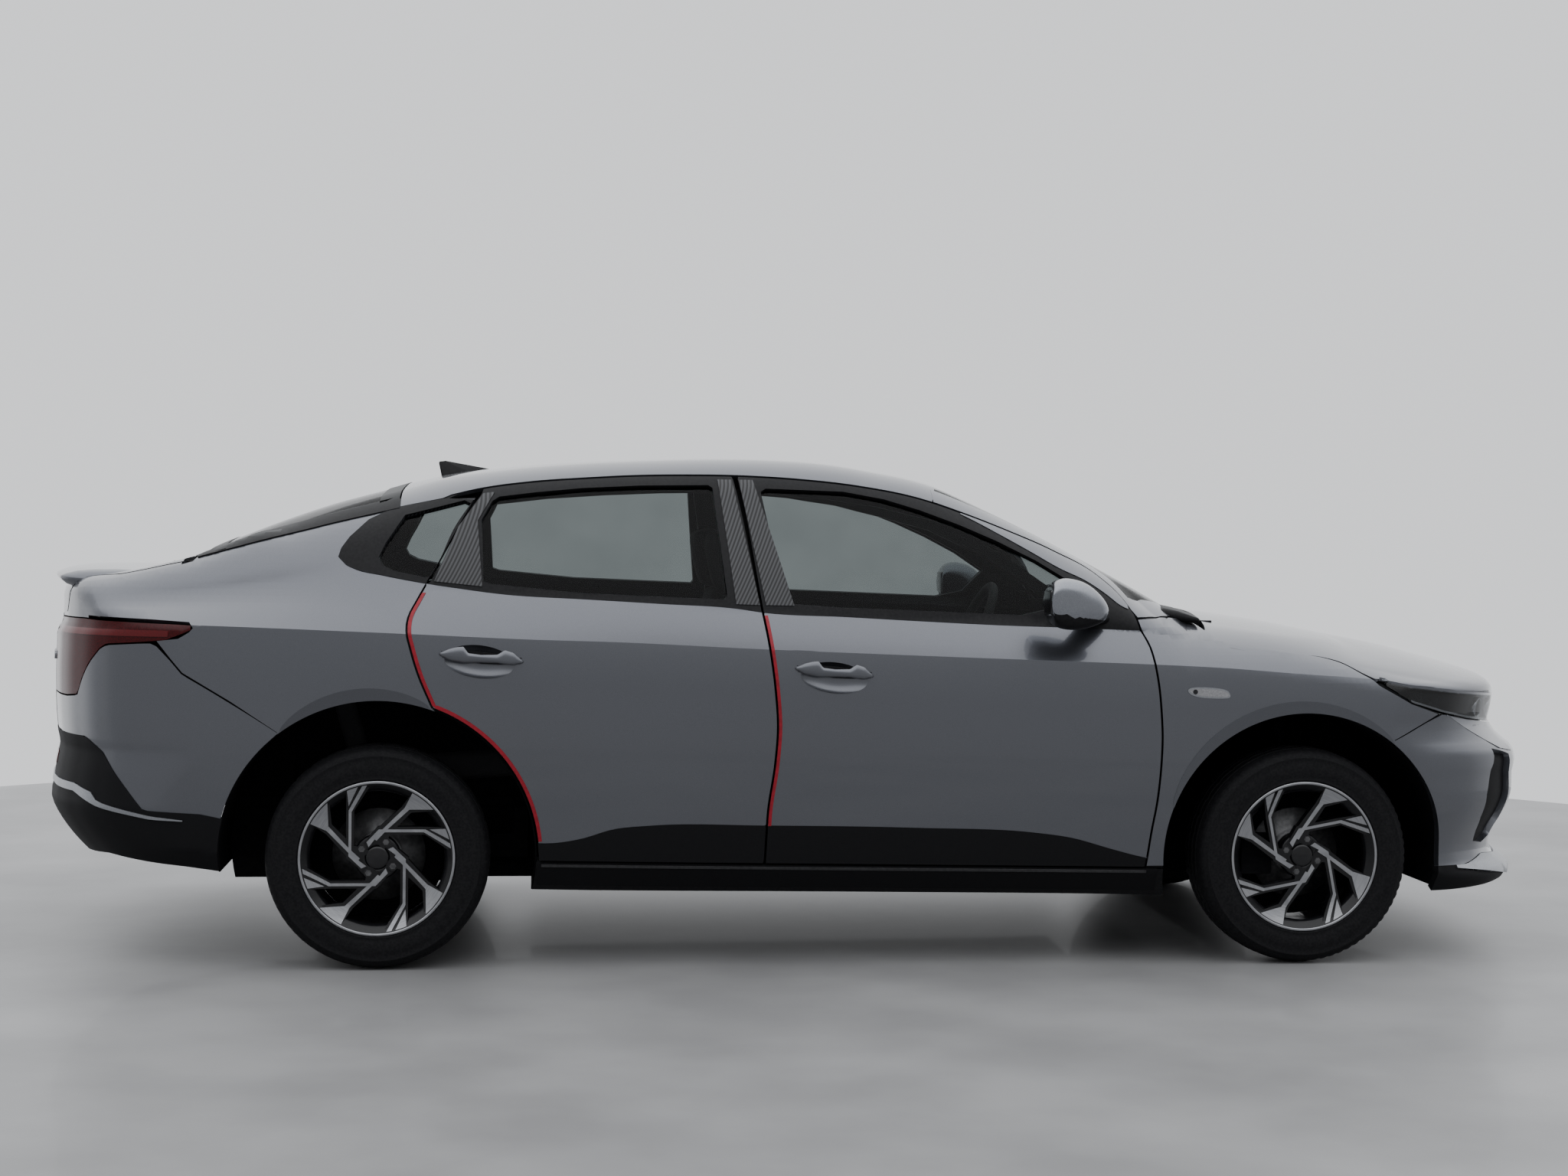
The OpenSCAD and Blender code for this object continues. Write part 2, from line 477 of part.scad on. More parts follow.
module side_frame() {
  rail_x = steps(-1360, 930, 14);
  color("dimgray") one_mesh() difference() {
    union() {
      intersection() {
        side_skin(steps(-980, 960, 8), [-0.2, 0, 1, 1.2], 130, 130);
        side_prism(SILL_OUT, -body_width, 0);
      }
      intersection() {
        side_skin(QUARTER_X, concat(ROWS_LOW, ROWS_HIGH), quarter_t, quarter_t);
        side_prism(QUARTER_OUT, -body_width, 0);
      }
      intersection() {
        top_skin(steps(270, 985, 7), [-800, -760, -725, -690, -660, -630, -595, -560], 45);
        side_prism(concat([for (x = steps(275, 840, 8)) [x, curve(DOOR_TOP, x) + half_gap]],
          [[862, 1000], [985, 985], [985, 1500], [275, 1500]]), -body_width, 0);
        plan_prism(concat([for (x = SCREEN_X) [x, -screen_half(x)]], [[1000, -900], [276, -900]]));
      }
      sheet([for (x = rail_x) let(y = rail_y(x), z = rail_top(x)) [[sx(x), -y, z - 45], [sx(x), -y, z]]],
        [for (x = rail_x) let(y = rail_y(x), z = rail_top(x)) [[sx(x), -y + 48, z - 45], [sx(x), -y + 48, z]]]);
      sheet([for (f = [0, 1]) [for (z = POST_Z) let(x = split_x(max(z, 300)) - 60 + 110 * f)
          [sx(x), -post_y(x, z), sz(z)]]],
        [for (f = [0, 1]) [for (z = POST_Z) let(x = split_x(max(z, 300)) - 60 + 110 * f)
          [sx(x), -post_y(x, z) + 45, sz(z)]]]);
      translate([sx(838), -sy(757), sz(235)]) cube([sx(960) - sx(838), 60, sz(905) - sz(235)]);
      translate([sx(838), -sy(718), sz(895)]) cube([sx(960) - sx(838), 60, sz(1010) - sz(895)]);
      hinge_straps(hinge_x_front);
      hinge_straps(hinge_x_rear);
    }
    for (hx = [hinge_x_front, hinge_x_rear]) hinge_pins(hx, pin_core + 0.25, 5);
    side_prism(WINDOW_QUARTER, -body_width, 0);
    arch_cut(rear_axle, arch_rear_r, -body_width, 0);
    arch_cut(front_axle, arch_front_r, -body_width, 0);
    fender_room();
    lid_room();
    translate([-wheelbase, -floor_w / 2, 0]) cube([2 * wheelbase, floor_w, sz(884)]);
  }
}
// Half width of the windscreen between the pillars.
SCREEN_X = steps(276, 1000, 11);
function screen_half(x) = let(v = min(x, 960)) side_y(v, curve(DOOR_TOP, min(v, 840)) + 12) - 52;
function rail_y(x) = sy(side_y(x, curve(DOOR_TOP, min(max(x, -1150), 840)) - (x < -1150 ? (-1150 - x) * 0.24 : 0)))
  - (x < -1140 ? 18 : frame_t + 14);
function rail_top(x) = sz(skin_z(x, (rail_y(x) + 2) * draw_width / body_width))
  - (x > 285 ? 12 : x < -1240 ? 12 : roof_t + seat_gap + 4);

module quarter_glass() {
  side_glass(WINDOW_QUARTER, -1380, -1060, 4);
}

// Roof and screens.
HEADER = [for (y = steps(-700, 700, 14)) [334 - 70 * pow(y / 600, 2), y]];
REAR_HEADER = [for (y = steps(700, -700, 14)) [-1288 + 62 * pow(y / 600, 2), y]];
TOP_Y = [-700, -645, -605, -570, -525, -430, -270, -90, 90, 270, 430, 525, 570, 605, 645, 700];
module roof_panel() {
  color("slategray") one_mesh() intersection() {
    top_skin(ROOF_X, TOP_Y, roof_t);
    plan_prism(concat(HEADER, REAR_HEADER));
    side_prism(concat([for (x = steps(-1340, -1160, 4)) [x, curve(SCREEN_SIDE, x) + seat_gap]],
      [for (x = steps(-1110, 360, 13)) [x, curve(DOOR_TOP, x) + half_gap]], [[360, 1600], [-1340, 1600]]),
      -body_width, body_width);
  }
}
module windscreen() {
  xs = steps(240, 1130, 7);
  n = len(SCREEN_X) - 1;
  color("darkslateblue", 0.6) one_mesh() difference() {
    intersection() {
      top_skin(xs, [-700, -640, -590, -520, -380, -150, 150, 380, 520, 590, 640, 700], glass_t, 3);
      plan_prism(concat([[240, -screen_half(276)]], [for (x = SCREEN_X) [x, -screen_half(x)]],
        [for (y = steps(-630, 630, 10)) [1098 - 75 * pow(y / 640, 2), y]],
        [for (i = [n:-1:0]) [SCREEN_X[i], screen_half(SCREEN_X[i])]], [[240, screen_half(276)]]), -seat_gap);
    }
    plan_prism(concat(HEADER, REAR_HEADER), seat_gap);
  }
}
module rear_window() {
  color("darkslateblue", 0.6) one_mesh() intersection() {
    top_skin(steps(-1930, -1200, 7), TOP_Y, glass_t, 2);
    plan_prism(concat([[-1878, -760], [-1878, 760]], [for (y = steps(760, -760, 14))
      [-1288 - seat_gap + 62 * pow(y / 600, 2), y]]));
    side_prism(concat([for (x = steps(-1940, -1190, 12)) [x, curve(SCREEN_SIDE, x) + seat_gap]],
      [[-1190, 1600], [-1940, 1600]]), -body_width, body_width);
  }
}

// Wings beside the engine.
FENDER_OUT = concat([for (z = steps(284, 1000, 9)) [curve(DOOR_FRONT, z) + half_gap, z]],
  [[866, 1002], [930, 1000], [1030, 986]],
  [for (x = concat([1056, 1074, 1090], steps(1106, 1540, 9))) [x, curve(HOOD_SIDE, x) - half_gap]],
  [[1556, 818], [1655, 765], [1758, 734], [1598, 656], [1500, 560], [1500, 284]]);
FENDER_X = steps(850, 1790, 9);
FENDER_ROWS = concat(ROWS_LOW, [4.35, 4.7, 5]);
module front_fenders() {
  color("slategray") both_sides() one_mesh() difference() {
    intersection() {
      side_skin(FENDER_X, FENDER_ROWS, fender_t, fender_t);
      side_prism(FENDER_OUT, -body_width, 0);
    }
    arch_cut(front_axle, arch_front_r, -body_width, 0);
    hood_room();
  }
}
module fender_room() {
  intersection() {
    side_skin(FENDER_X, FENDER_ROWS, fender_t + 5 + seat_gap, fender_t + 5 + seat_gap, -5);
    side_room(FENDER_OUT, -body_width, 0);
  }
}

// Hood and boot lid, each with its two hinge eyes.
hood_hinge = [sx(1060), sz(985)];
lid_hinge = [sx(-1900), sz(1134)];
hinge_side = 560;
function fan_y(y0, n) = [for (i = [-n:n]) let(f = i / n) y0 * f * (1.25 - 0.25 * f * f)];
// The hood's four edges, in plan: along the screen, over the lamps and beside the wings.
function hood_rear(f) = [1150 - 80 * f * f, 735 * f];
function hood_nose(f) = let(a = 75.5 * f, r = fan_r(nose_c, a, lookup(abs(a), LAMP_HIGH) + panel_gap))
  [nose_c + r * cos(a), r * sin(a)];
function hood_wing(g, s) = let(x = 1070 + (hood_nose(1)[0] - 1070) * g)
  [x, s * (side_y(x, curve(HOOD_SIDE, x) + half_gap) - half_gap / 2)];
function hood_at(f, g) = let(u = (f + 1) / 2, a = hood_rear(f), b = hood_nose(f), c = hood_wing(g, -1),
    d = hood_wing(g, 1), p = a * (1 - g) + b * g + c * (1 - u) + d * u
      - (hood_wing(0, -1) * (1 - u) + hood_wing(0, 1) * u) * (1 - g)
      - (hood_nose(-1) * (1 - u) + hood_nose(1) * u) * g)
  at([p[0], p[1], max(skin_z(p[0], p[1]), lookup(abs(atan2(p[1], p[0] - nose_c)), LAMP_HIGH) + panel_gap)]);
// The hood thins towards its sides and its nose.
function hood_thick(f, g) = 5 + (hood_t - 5) * max(min(1, (1 - abs(f)) / 0.16, (1 - g) / 0.13), 0);
HOOD_F = [-1, -0.94, -0.84, -0.72, -0.55, -0.36, -0.12, 0.12, 0.36, 0.55, 0.72, 0.84, 0.94, 1];
HOOD_G = [0, 0.06, 0.15, 0.3, 0.46, 0.62, 0.76, 0.87, 0.95, 1];
module hood() {
  color("slategray") one_mesh() difference() {
    union() {
      sheet([for (g = HOOD_G) [for (f = HOOD_F) hood_at(f, g)]],
        [for (g = HOOD_G) [for (f = HOOD_F) hood_at(f, g) - [0, 0, hood_thick(f, g)]]]);
      both_sides() translate([hood_hinge[0] - 11, hinge_side, hood_hinge[1] - 11]) cube([85, 16, 20]);
    }
    translate([hood_hinge[0], -body_width, hood_hinge[1]]) rotate([-90, 0, 0])
      cylinder(r = pin_r + pin_fit, h = 2 * body_width, $fn = 32);
  }
}
// The space that the hood takes, with the gap round it.
module hood_room() {
  gs = concat([-0.007], [for (i = [1:len(HOOD_G) - 2]) HOOD_G[i]], [1.007]);
  sheet([for (g = gs) [for (f = HOOD_F) hood_at(f * 1.008, g) + [0, 0, 40]]],
    [for (g = gs) [for (f = HOOD_F) hood_at(f * 1.008, g) - [0, 0, hood_thick(f, g) + 6 + 9 * (1 - g)]]]);
}
LID_BACK = [[-396, 640], [-400, 750], [-438, 772], [-440, 985], [-560, 996], [-590, 1040], [-600, 1300],
  [600, 1300], [590, 1040], [560, 996], [440, 985], [438, 772], [400, 750], [396, 640]];
LID_EDGE_X = steps(-2290, -1912, 9);
function lid_edge(x) = min(side_y(x, curve(DECK_SIDE, x)), 640 - max(0, -2080 - x) * 0.4);
function lid_plan(x0, x1) = concat([for (x = LID_EDGE_X) [x, -lid_edge(x)]], [[x1, -lid_edge(-1912)],
  [x1, lid_edge(-1912)]], [for (i = [9:-1:0]) [LID_EDGE_X[i], lid_edge(LID_EDGE_X[i])]],
  [[x0, lid_edge(-2290)], [x0, -lid_edge(-2290)]]);
// The space that the boot lid takes, with the gap round it.
module lid_room() {
  intersection() {
    top_skin(LID_X, LID_Y, lid_t + 50, -40);
    plan_prism(lid_plan(-2400, -1905), half_gap);
    box(-2500, -1800, -body_width, body_width, sz(1004), 2 * body_height);
  }
  intersection() {
    tail_skin(lid_t + 50, 40);
    translate([sx(-2400), 0, 0]) rotate([90, 0, 90]) linear_extrude(sx(-2100) - sx(-2400))
      offset(delta = panel_gap) polygon([for (p = LID_BACK) [sy(p[0]), sz(p[1])]]);
  }
}
module tail_skin(t, out = 0) {
  g = [for (i = [len(LID_Y) - 1:-1:0]) [for (z = LID_Z) at([rear_x(LID_Y[i], z), LID_Y[i], z])]];
  sheet([for (r = g) [for (p = r) p - [out, 0, 0]]], [for (r = g) [for (p = r) p + [t, 0, 0]]]);
}
module boot_lid() {
  color("slategray") one_mesh() difference() {
    union() {
      intersection() {
        top_skin(LID_X, LID_Y, lid_t);
        plan_prism(lid_plan(-2400, -1912 + half_gap), -half_gap);
        box(-2500, -1800, -body_width, body_width, sz(1012), 2 * body_height);
      }
      intersection() {
        tail_skin(lid_t);
        rear_prism(LID_BACK, -2400, -2150);
      }
      intersection() {
        tail_skin(lid_t + 44);
        rear_prism(LID_BACK, -2400, -2150);
        box(-2500, -2000, -body_width, body_width, sz(1012), sz(1200));
      }
      both_sides() translate([lid_hinge[0] - 45, hinge_side, lid_hinge[1] - 12]) cube([57, 16, 22]);
    }
    translate([lid_hinge[0], -body_width, lid_hinge[1]]) rotate([-90, 0, 0])
      cylinder(r = pin_r / 1.5 + pin_fit, h = 2 * body_width, $fn = 32);
  }
}
module spoiler() {
  ys = fan_y(-610, 7);
  color("slategray") one_mesh() difference() {
    sheet([for (y = ys) let(b = curve(TAIL_BACK, abs(y)), d = 14 * pow(y / 600, 2))
        [for (p = [[-2347, 1106], [-2290, 1126], [-2150, 1127]]) at([p[0] + b, y, p[1] - d])]],
      [for (y = ys) let(b = curve(TAIL_BACK, abs(y)), d = 14 * pow(y / 600, 2))
        [for (p = [[-2318, 1082], [-2290, 1070], [-2060, 1080]]) at([p[0] + b, y, p[1] - d])]]);
    top_skin(LID_X, LID_Y, 200, -seat_gap);
    tail_skin(200, seat_gap);
  }
}

// Bumpers, lamps and grille, over angles from the middle of the nose or tail.
LAMP_LOW = [[0, 690], [31, 690], [40, 692], [45.7, 698], [55.6, 715], [62.3, 734], [69.7, 765], [76, 828]];
LAMP_HIGH = [[0, 766], [31, 766], [40, 767], [50, 777], [60, 790], [70, 808], [76, 826]];
BUMPER_TOP = [[0, 689], [31, 689], [40, 691], [45.7, 697], [55.6, 714], [62.5, 733], [66, 712], [73.7, 656],
  [76, 640]];
BUMPER_LOW = [[0, 205], [40, 200], [60, 188], [76, 186]];
module front_bumper() {
  color("slategray") one_mesh() difference() {
    fan_skin(nose_c, nose_fan([0, 10, 20, 31, 38, 45.7, 51, 55.6, 59, 62.5, 66, 70, 74]), BUMPER_LOW,
      BUMPER_TOP, [0, 0.07, 0.12, 0.25, 0.4, 0.55, 0.7, 0.81, 0.86, 0.93, 1], bumper_t);
    rear_prism([[-560, 588], [-620, 575], [-640, 545], [-590, 400], [-540, 345], [540, 345], [590, 400], [640, 545],
      [620, 575], [560, 588]], 1800, 2300);
    both_sides() arch_cut(front_axle, arch_front_r, -body_width, 0);
    both_sides() side_room(FENDER_OUT, -body_width, -500);
    hood_room();
  }
}
module grille() {
  color("black") one_mesh() difference() {
    union() {
      intersection() {
        fan_skin(nose_c, nose_fan([0, 10, 20, 31, 38, 45.7, 51]), [[0, 330], [60, 330]],
          [[0, 600], [60, 600]], [0, 0.2, 0.4, 0.6, 0.8, 1], bumper_t - 10, 10);
        rear_prism([[-559, 587], [-619, 574], [-639, 545], [-589, 401], [-539, 346], [539, 346],
          [589, 401], [639, 545], [619, 574], [559, 587]], 1800, 2300);
      }
      fan_skin(nose_c, nose_fan([0, 10, 20, 30.4]), [[0, 689.8], [60, 689.8]], [[0, 764], [60, 764]],
        [0, 0.25, 0.5, 0.75, 1], bumper_t - 6, 6);
    }
    hood_room();
    translate([sx(1900), -tow_y, sz(490)]) rotate([0, 90, 0]) cylinder(r = tow_r + 15, h = 600, $fn = 24);
  }
}
module headlamps() {
  color("lightgray") both_sides() one_mesh() difference() {
    fan_skin(nose_c, [-75, -72.5, -69.7, -66, -62.3, -59, -55.6, -51, -45.7, -38, -31], LAMP_LOW, LAMP_HIGH,
      [0, 0.33, 0.67, 1], bumper_t + 10);
    side_room(FENDER_OUT, -body_width, -500);
    hood_room();
  }
}
TAIL_LAMP_LOW = [[25, 758], [35.8, 758], [39.7, 764], [41.2, 813], [43, 857], [45.3, 900], [46.5, 911], [48, 913],
  [52, 918], [55.6, 924], [57.9, 942], [59.4, 956]];
TAIL_LAMP_HIGH = [[25, 976], [30, 978], [40, 980], [50, 974], [59, 967], [59.4, 965]];
REAR_TOP = [[0, 628], [23.5, 628], [25, 757], [35.8, 757], [39.7, 763], [41.2, 812], [43, 856], [45.3, 899],
  [46.5, 910], [48, 912], [52, 917], [54, 918], [56.4, 872], [58.2, 832], [65.1, 754], [72.5, 673], [75, 650]];
REAR_LOW = [[0, 262], [30, 262], [45, 285], [60, 275], [75, 262]];
module tail_lamps() {
  color("darkred") both_sides() one_mesh() difference() {
    fan_skin(-nose_c, [for (a = [26, 30, 34, 37, 39.7, 41.2, 43, 45.3, 47, 50, 53, 55.6, 57.9, 59.4]) 180 + a],
      TAIL_LAMP_LOW, TAIL_LAMP_HIGH, [0, 0.33, 0.67, 1], bumper_t);
    side_room(QUARTER_OUT, -body_width, -500);
    lid_room();
  }
}
module rear_bumper() {
  color("slategray") one_mesh() difference() {
    fan_skin(-nose_c, tail_fan([0, 12, 23.5, 25, 31, 35.8, 39.7, 41.2, 43, 45.3, 48, 52, 54, 56.4, 58.2, 61, 65.1,
      69, 72.5, 74]), REAR_LOW, REAR_TOP, [0, 0.1, 0.2, 0.32, 0.45, 0.6, 0.8, 1], bumper_t);
    both_sides() arch_cut(rear_axle, arch_rear_r, -body_width, 0);
    both_sides() side_room(QUARTER_OUT, -body_width, -500);
    lid_room();
  }
}

// Wheel arch liners.
module liner(x, r, y0, y1, low) {
  difference() {
    translate([x, y1, axle_z]) rotate([90, 0, 0]) cylinder(r = r - seat_gap, h = y1 - y0, $fn = 128);
    translate([x, y1 + 1, axle_z]) rotate([90, 0, 0])
      cylinder(r = r - seat_gap - liner_t, h = y1 - y0 + 2, $fn = 128);
    translate([x - r - 10, y0 - 1, -r]) cube([2 * r + 20, y1 - y0 + 2, low + r]);
  }
}
module arch_liners() {
  color("black") both_sides() {
    difference() {
      liner(front_axle, arch_front_r, -sy(835), -520, sz(290));
      translate([front_axle, 130 - king_y, axle_z]) cylinder(r = 34, h = body_height, $fn = 32);
    }
    liner(rear_axle, arch_rear_r, -sy(842), -560, sz(345));
  }
}

// The steering pin's place, the length of its half and the top of the strut.
king_y = track / 2 - 55;
king_h = 105;
strut_l = 330;
strut_top = axle_z + king_h + 10 + strut_l + seat_gap;
// Floor, firewall, rails, shelf and the brackets of the hood and lid hinges.
module box(x0, x1, y0, y1, z0, z1) {
  translate([sx(x0), y0, z0]) cube([sx(x1) - sx(x0), y1 - y0, z1 - z0]);
}
floor_h = floor_w / 2 - seat_gap;
tow_y = 400;
tow_r = 9;
module floor_pan() {
  color("darkgray") {
    union() {
      difference() {
        union() {
          box(-880, 960, -floor_h, floor_h, floor_z, floor_z + floor_t);
          box(960, 985, -floor_h, floor_h, floor_z, sz(880));
        }
        box(-900, 970, -70, 70, floor_z - 1, floor_z + 12);
        both_sides() arch_cut(front_axle, arch_front_r, -body_width, -519);
      }
      box(-880, 960, -110, 110, floor_z + floor_t, floor_z + floor_t + 110);
      both_sides() for (x = [-700, 700])
        translate([sx(x) - 30, floor_h - 75, floor_z - 15]) cube([60, 60, 20]);
      box(-905, -880, -540, 540, floor_z, sz(430));
      box(-2120, -880, -540, 540, sz(430), sz(455));
      box(-1640, -1600, -540, 540, sz(455), sz(1090));
      box(-1880, -1600, -540, 540, sz(1070), sz(1090));
      both_sides() {
        box(985, 2040, 430, 490, sz(440), sz(540));
        translate([sx(985), hinge_side - 22, sz(860)])
          cube([hood_hinge[0] - sx(985), 18, hood_hinge[1] - sz(860)]);
        translate([hood_hinge[0], hinge_side - 22, hood_hinge[1]]) rotate([-90, 0, 0])
          cylinder(r = 9, h = 18, $fn = 32);
        translate([hood_hinge[0], hinge_side - 22, hood_hinge[1]]) rotate([-90, 0, 0])
          cylinder(r = pin_r, h = 40, $fn = 32);
        translate([lid_hinge[0], hinge_side - 40, sz(1070)]) cube([38, 36, lid_hinge[1] - sz(1070)]);
        translate([lid_hinge[0], hinge_side - 40, lid_hinge[1]]) rotate([-90, 0, 0])
          cylinder(r = 7, h = 36, $fn = 32);
        translate([lid_hinge[0], hinge_side - 40, lid_hinge[1]]) rotate([-90, 0, 0])
          cylinder(r = pin_r / 1.5, h = 58, $fn = 32);
        translate([front_axle - 90, 430, sz(540)]) cube([180, 20, strut_top + 20 - sz(540)]);
        translate([front_axle - 90, 430, strut_top]) cube([180, king_y - 430 - 40, 20]);
      }
      difference() {
        box(2000, 2040, -490, 490, sz(440), sz(540));
        translate([sx(2000) - 1, -tow_y, sz(490)]) rotate([0, 90, 0]) cylinder(r = tow_r, h = 60, $fn = 48);
      }
      box(1930, 1960, -430, 430, sz(260), sz(740));
      box(960, 1075, -floor_h + 60, floor_h - 60, sz(860), sz(880));
    }
  }
}

// Inside the cabin.
module dash_form() {
  union() {
    for (y = [85 - floor_h, floor_h - 85]) for (p = [[940 - seat_gap, 920, 20], [720, 900, 30], [690, 780, 40], [800, 620, 30], [944 - seat_gap, 620, 16]])
      translate([sx(p[0]), y, sz(p[1])]) rotate([90, 0, 0])
        cylinder(r = p[2], h = 40, center = true, $fn = 16);
  }
}
// The steering column leaves the dashboard through a round boss.
steer_at = [sx(560), seat_y, sz(905)];
steer_tilt = 25;
boss_at = 95;
module steer_frame() {
  translate(steer_at) rotate([0, steer_tilt - 90, 0]) children();
}
module dashboard() {
  color("black") one_mesh() union() {
    hull() dash_form();
    steer_frame() translate([0, 0, -boss_at - 140]) cylinder(r = 44, h = 140, $fn = 24);
  }
}
module seat_form(x, y, w, l, base, back_h) {
  translate([sx(x), y, 0]) {
    hull() {
      for (p = [[0, 0], [l, 25]]) for (s = [-1, 1])
        translate([p[0], s * (w / 2 - 50), base + 200 + p[1]]) sphere(r = 50, $fn = 8);
      translate([l / 2, 0, base + 60]) cube([l + 60, w - 40, 60], center = true);
    }
    hull() {
      for (p = [[-20, 220], [-170, 220 + back_h]]) for (s = [-1, 1])
        translate([p[0], s * (w / 2 - 60 - p[1] / 20), base + p[1]]) sphere(r = 55, $fn = 8);
    }
  }
}
module front_seats() {
  color("dimgray") both_sides() one_mesh() union() {
    seat_form(-120, seat_y, seat_w, seat_l, floor_z + floor_t + seat_gap, 520);
    hull() {
      for (s = [-90, 90]) for (d = [0, 110])
        translate([sx(-120) - 195 - d * 0.2, seat_y + s, floor_z + floor_t + 850 + d]) sphere(r = 42, $fn = 8);
    }
    translate([sx(-120) - 215, seat_y - 50, floor_z + floor_t + 740]) cube([30, 100, 100]);
    translate([sx(-120) + 20, seat_y - seat_w / 2 + 40, floor_z + floor_t + seat_gap])
      cube([seat_l - 60, seat_w - 80, 80]);
  }
}
module rear_seat() {
  color("dimgray") one_mesh() union() {
    hull() {
      for (p = [[-1380, 46], [-880, 70]]) for (s = [-1, 1])
        translate([sx(p[0]), s * 470, sz(455) + seat_gap + p[1]]) sphere(r = 45, $fn = 8);
      translate([sx(-1390), -520, sz(455) + seat_gap]) cube([sx(-900) - sx(-1390), 1040, 40]);
    }
    hull() {
      for (p = [[-1400, 520, 55], [-1540, 980, 45]]) for (s = [-1, 1])
        translate([sx(p[0]), s * 470, sz(p[1])]) sphere(r = p[2], $fn = 8);
    }
    for (s = [-1, 1]) hull() for (d = [-80, 80]) for (h = [1040, 1120])
      translate([sx(-1552), s * 340 + d, sz(h)]) sphere(r = 38, $fn = 8);
  }
}
module steering_wheel() {
  color("black") steer_frame() {
    rotate_extrude($fn = 64) translate([steer_d / 2 - steer_t / 2, 0]) circle(d = steer_t, $fn = 20);
    cylinder(r = 60, h = 40, center = true, $fn = 32);
    for (a = [90, 270, 180]) rotate([0, 0, a]) translate([40, -18, -8]) cube([steer_d / 2 - 40 - steer_t / 2, 36, 16]);
    translate([0, 0, seat_gap - boss_at]) cylinder(r = 18, h = boss_at - seat_gap, $fn = 32);
  }
}

// Engine and running gear.
sub_z = axle_z - 145;
module engine() {
  color("silver") translate([front_axle - engine_l / 2 + 20, -engine_w / 2, sub_z + 60 + seat_gap])
    cube([engine_l, engine_w, engine_h]);
}
module front_suspension() {
  color("dimgray") union() {
    translate([front_axle - 150, -420, sub_z]) cube([300, 840, 60]);
    both_sides() {
      translate([front_axle - 35, 400, axle_z - king_h - 40]) cube([70, king_y - 410, 30]);
      translate([front_axle, king_y, axle_z - king_h - 40]) cylinder(r = 18, h = 30, $fn = 32);
      translate([front_axle, king_y, axle_z - king_h - 20]) cylinder(r = 10, h = 50, $fn = 32);
      translate([front_axle - 30, king_y - 140, axle_z + king_h + 10]) cube([60, 140, 26]);
      translate([front_axle, king_y, axle_z + king_h + 10]) cylinder(r = 18, h = 26, $fn = 32);
      translate([front_axle, king_y, axle_z + king_h - 30]) cylinder(r = 10, h = 50, $fn = 32);
      translate([front_axle, king_y - 130, axle_z + king_h + 10]) cylinder(r = 28, h = strut_l, $fn = 32);
    }
  }
}
hub_in = track / 2 - 30;
module knuckle() {
  color("gray") difference() {
    union() {
      translate([front_axle, -king_y, axle_z - king_h + 2]) cylinder(r = 22, h = 2 * king_h - 4, $fn = 32);
      translate([front_axle, -king_y, axle_z]) rotate([90, 0, 0]) cylinder(r = 48, h = hub_in - king_y - 8, $fn = 48);
      translate([front_axle, -king_y, axle_z]) rotate([90, 0, 0]) cylinder(r = stub_r, h = hub_in - king_y + 60, $fn = 48);
      translate([front_axle - disc_r - 28, -hub_in + 7, axle_z - 50]) cube([90, 24, 100]);
      translate([front_axle - disc_r - 28, -hub_in + 7, axle_z - 22]) cube([disc_r + 28, 24, 44]);
      translate([front_axle - disc_r - 36, -hub_in - disc_t - 35, axle_z - 60]) cube([24, disc_t + 66, 120]);
      translate([front_axle - disc_r - 36, -hub_in - disc_t - 35, axle_z - 60]) cube([90, 24, 120]);
    }
    translate([front_axle, -king_y, axle_z - king_h]) cylinder(r = 10 + run_fit * 3, h = 32, $fn = 48);
    translate([front_axle, -king_y, axle_z + king_h - 32]) cylinder(r = 10 + run_fit * 3, h = 40, $fn = 48);
  }
}
module rear_axle_beam() {
  color("dimgray") union() {
    translate([rear_axle + 60, -560, axle_z - 35]) cube([80, 1120, 70]);
    both_sides() {
      translate([rear_axle - 40, 520, axle_z - 35]) cube([440, 60, 70]);
      translate([rear_axle + 380, 520, axle_z - 35]) cube([40, 60, sz(430) - seat_gap - axle_z + 35]);
      translate([rear_axle, 520, axle_z]) rotate([-90, 0, 0]) cylinder(r = 46, h = hub_in - 520 - 8, $fn = 48);
      translate([rear_axle, 520, axle_z]) rotate([-90, 0, 0]) cylinder(r = stub_r, h = hub_in - 520 + 60, $fn = 48);
    }
  }
}
module exhaust() {
  color("silver") union() {
    translate([sx(-820), 0, floor_z - 24 + 12 - seat_gap]) rotate([0, 90, 0]) cylinder(r = 24, h = sx(760) - sx(-820), $fn = 32);
  }
}
module antenna() {
  color("black") one_mesh() difference() {
    hull() {
      translate(at([-1060, 0, 1430])) sphere(r = 8, $fn = 12);
      translate(at([-1190, 0, 1400])) cube([30, 44, 20], center = true);
      translate(at([-1100, 0, 1415])) cube([60, 36, 20], center = true);
      translate(at([-1196, 0, 1456])) sphere(r = 7, $fn = 12);
    }
    top_skin(ROOF_X, TOP_Y, 200, -seat_gap);
  }
}

// Wheels; each is drawn at its middle with its outer face towards -Y.
module wheel_at(x, right) {
  translate([x, right ? -track / 2 : track / 2, axle_z]) rotate([0, 0, right ? 0 : 180]) children();
}
bead_r = rim_d / 2 - 14;
module tyre() {
  w = tyre_w / 2;
  r = tyre_d / 2;
  color("black") rotate([90, 0, 0]) rotate_extrude($fn = 96)
    polygon([[bead_r, -w + 26], [bead_r + 16, -w + 12], [(bead_r + r) / 2, -w], [r - 22, -w + 8], [r - 6, -w + 24],
      [r, -w + 50], [r, w - 50], [r - 6, w - 24], [r - 22, w - 8], [(bead_r + r) / 2, w], [bead_r + 16, w - 12],
      [bead_r, w - 26]]);
}
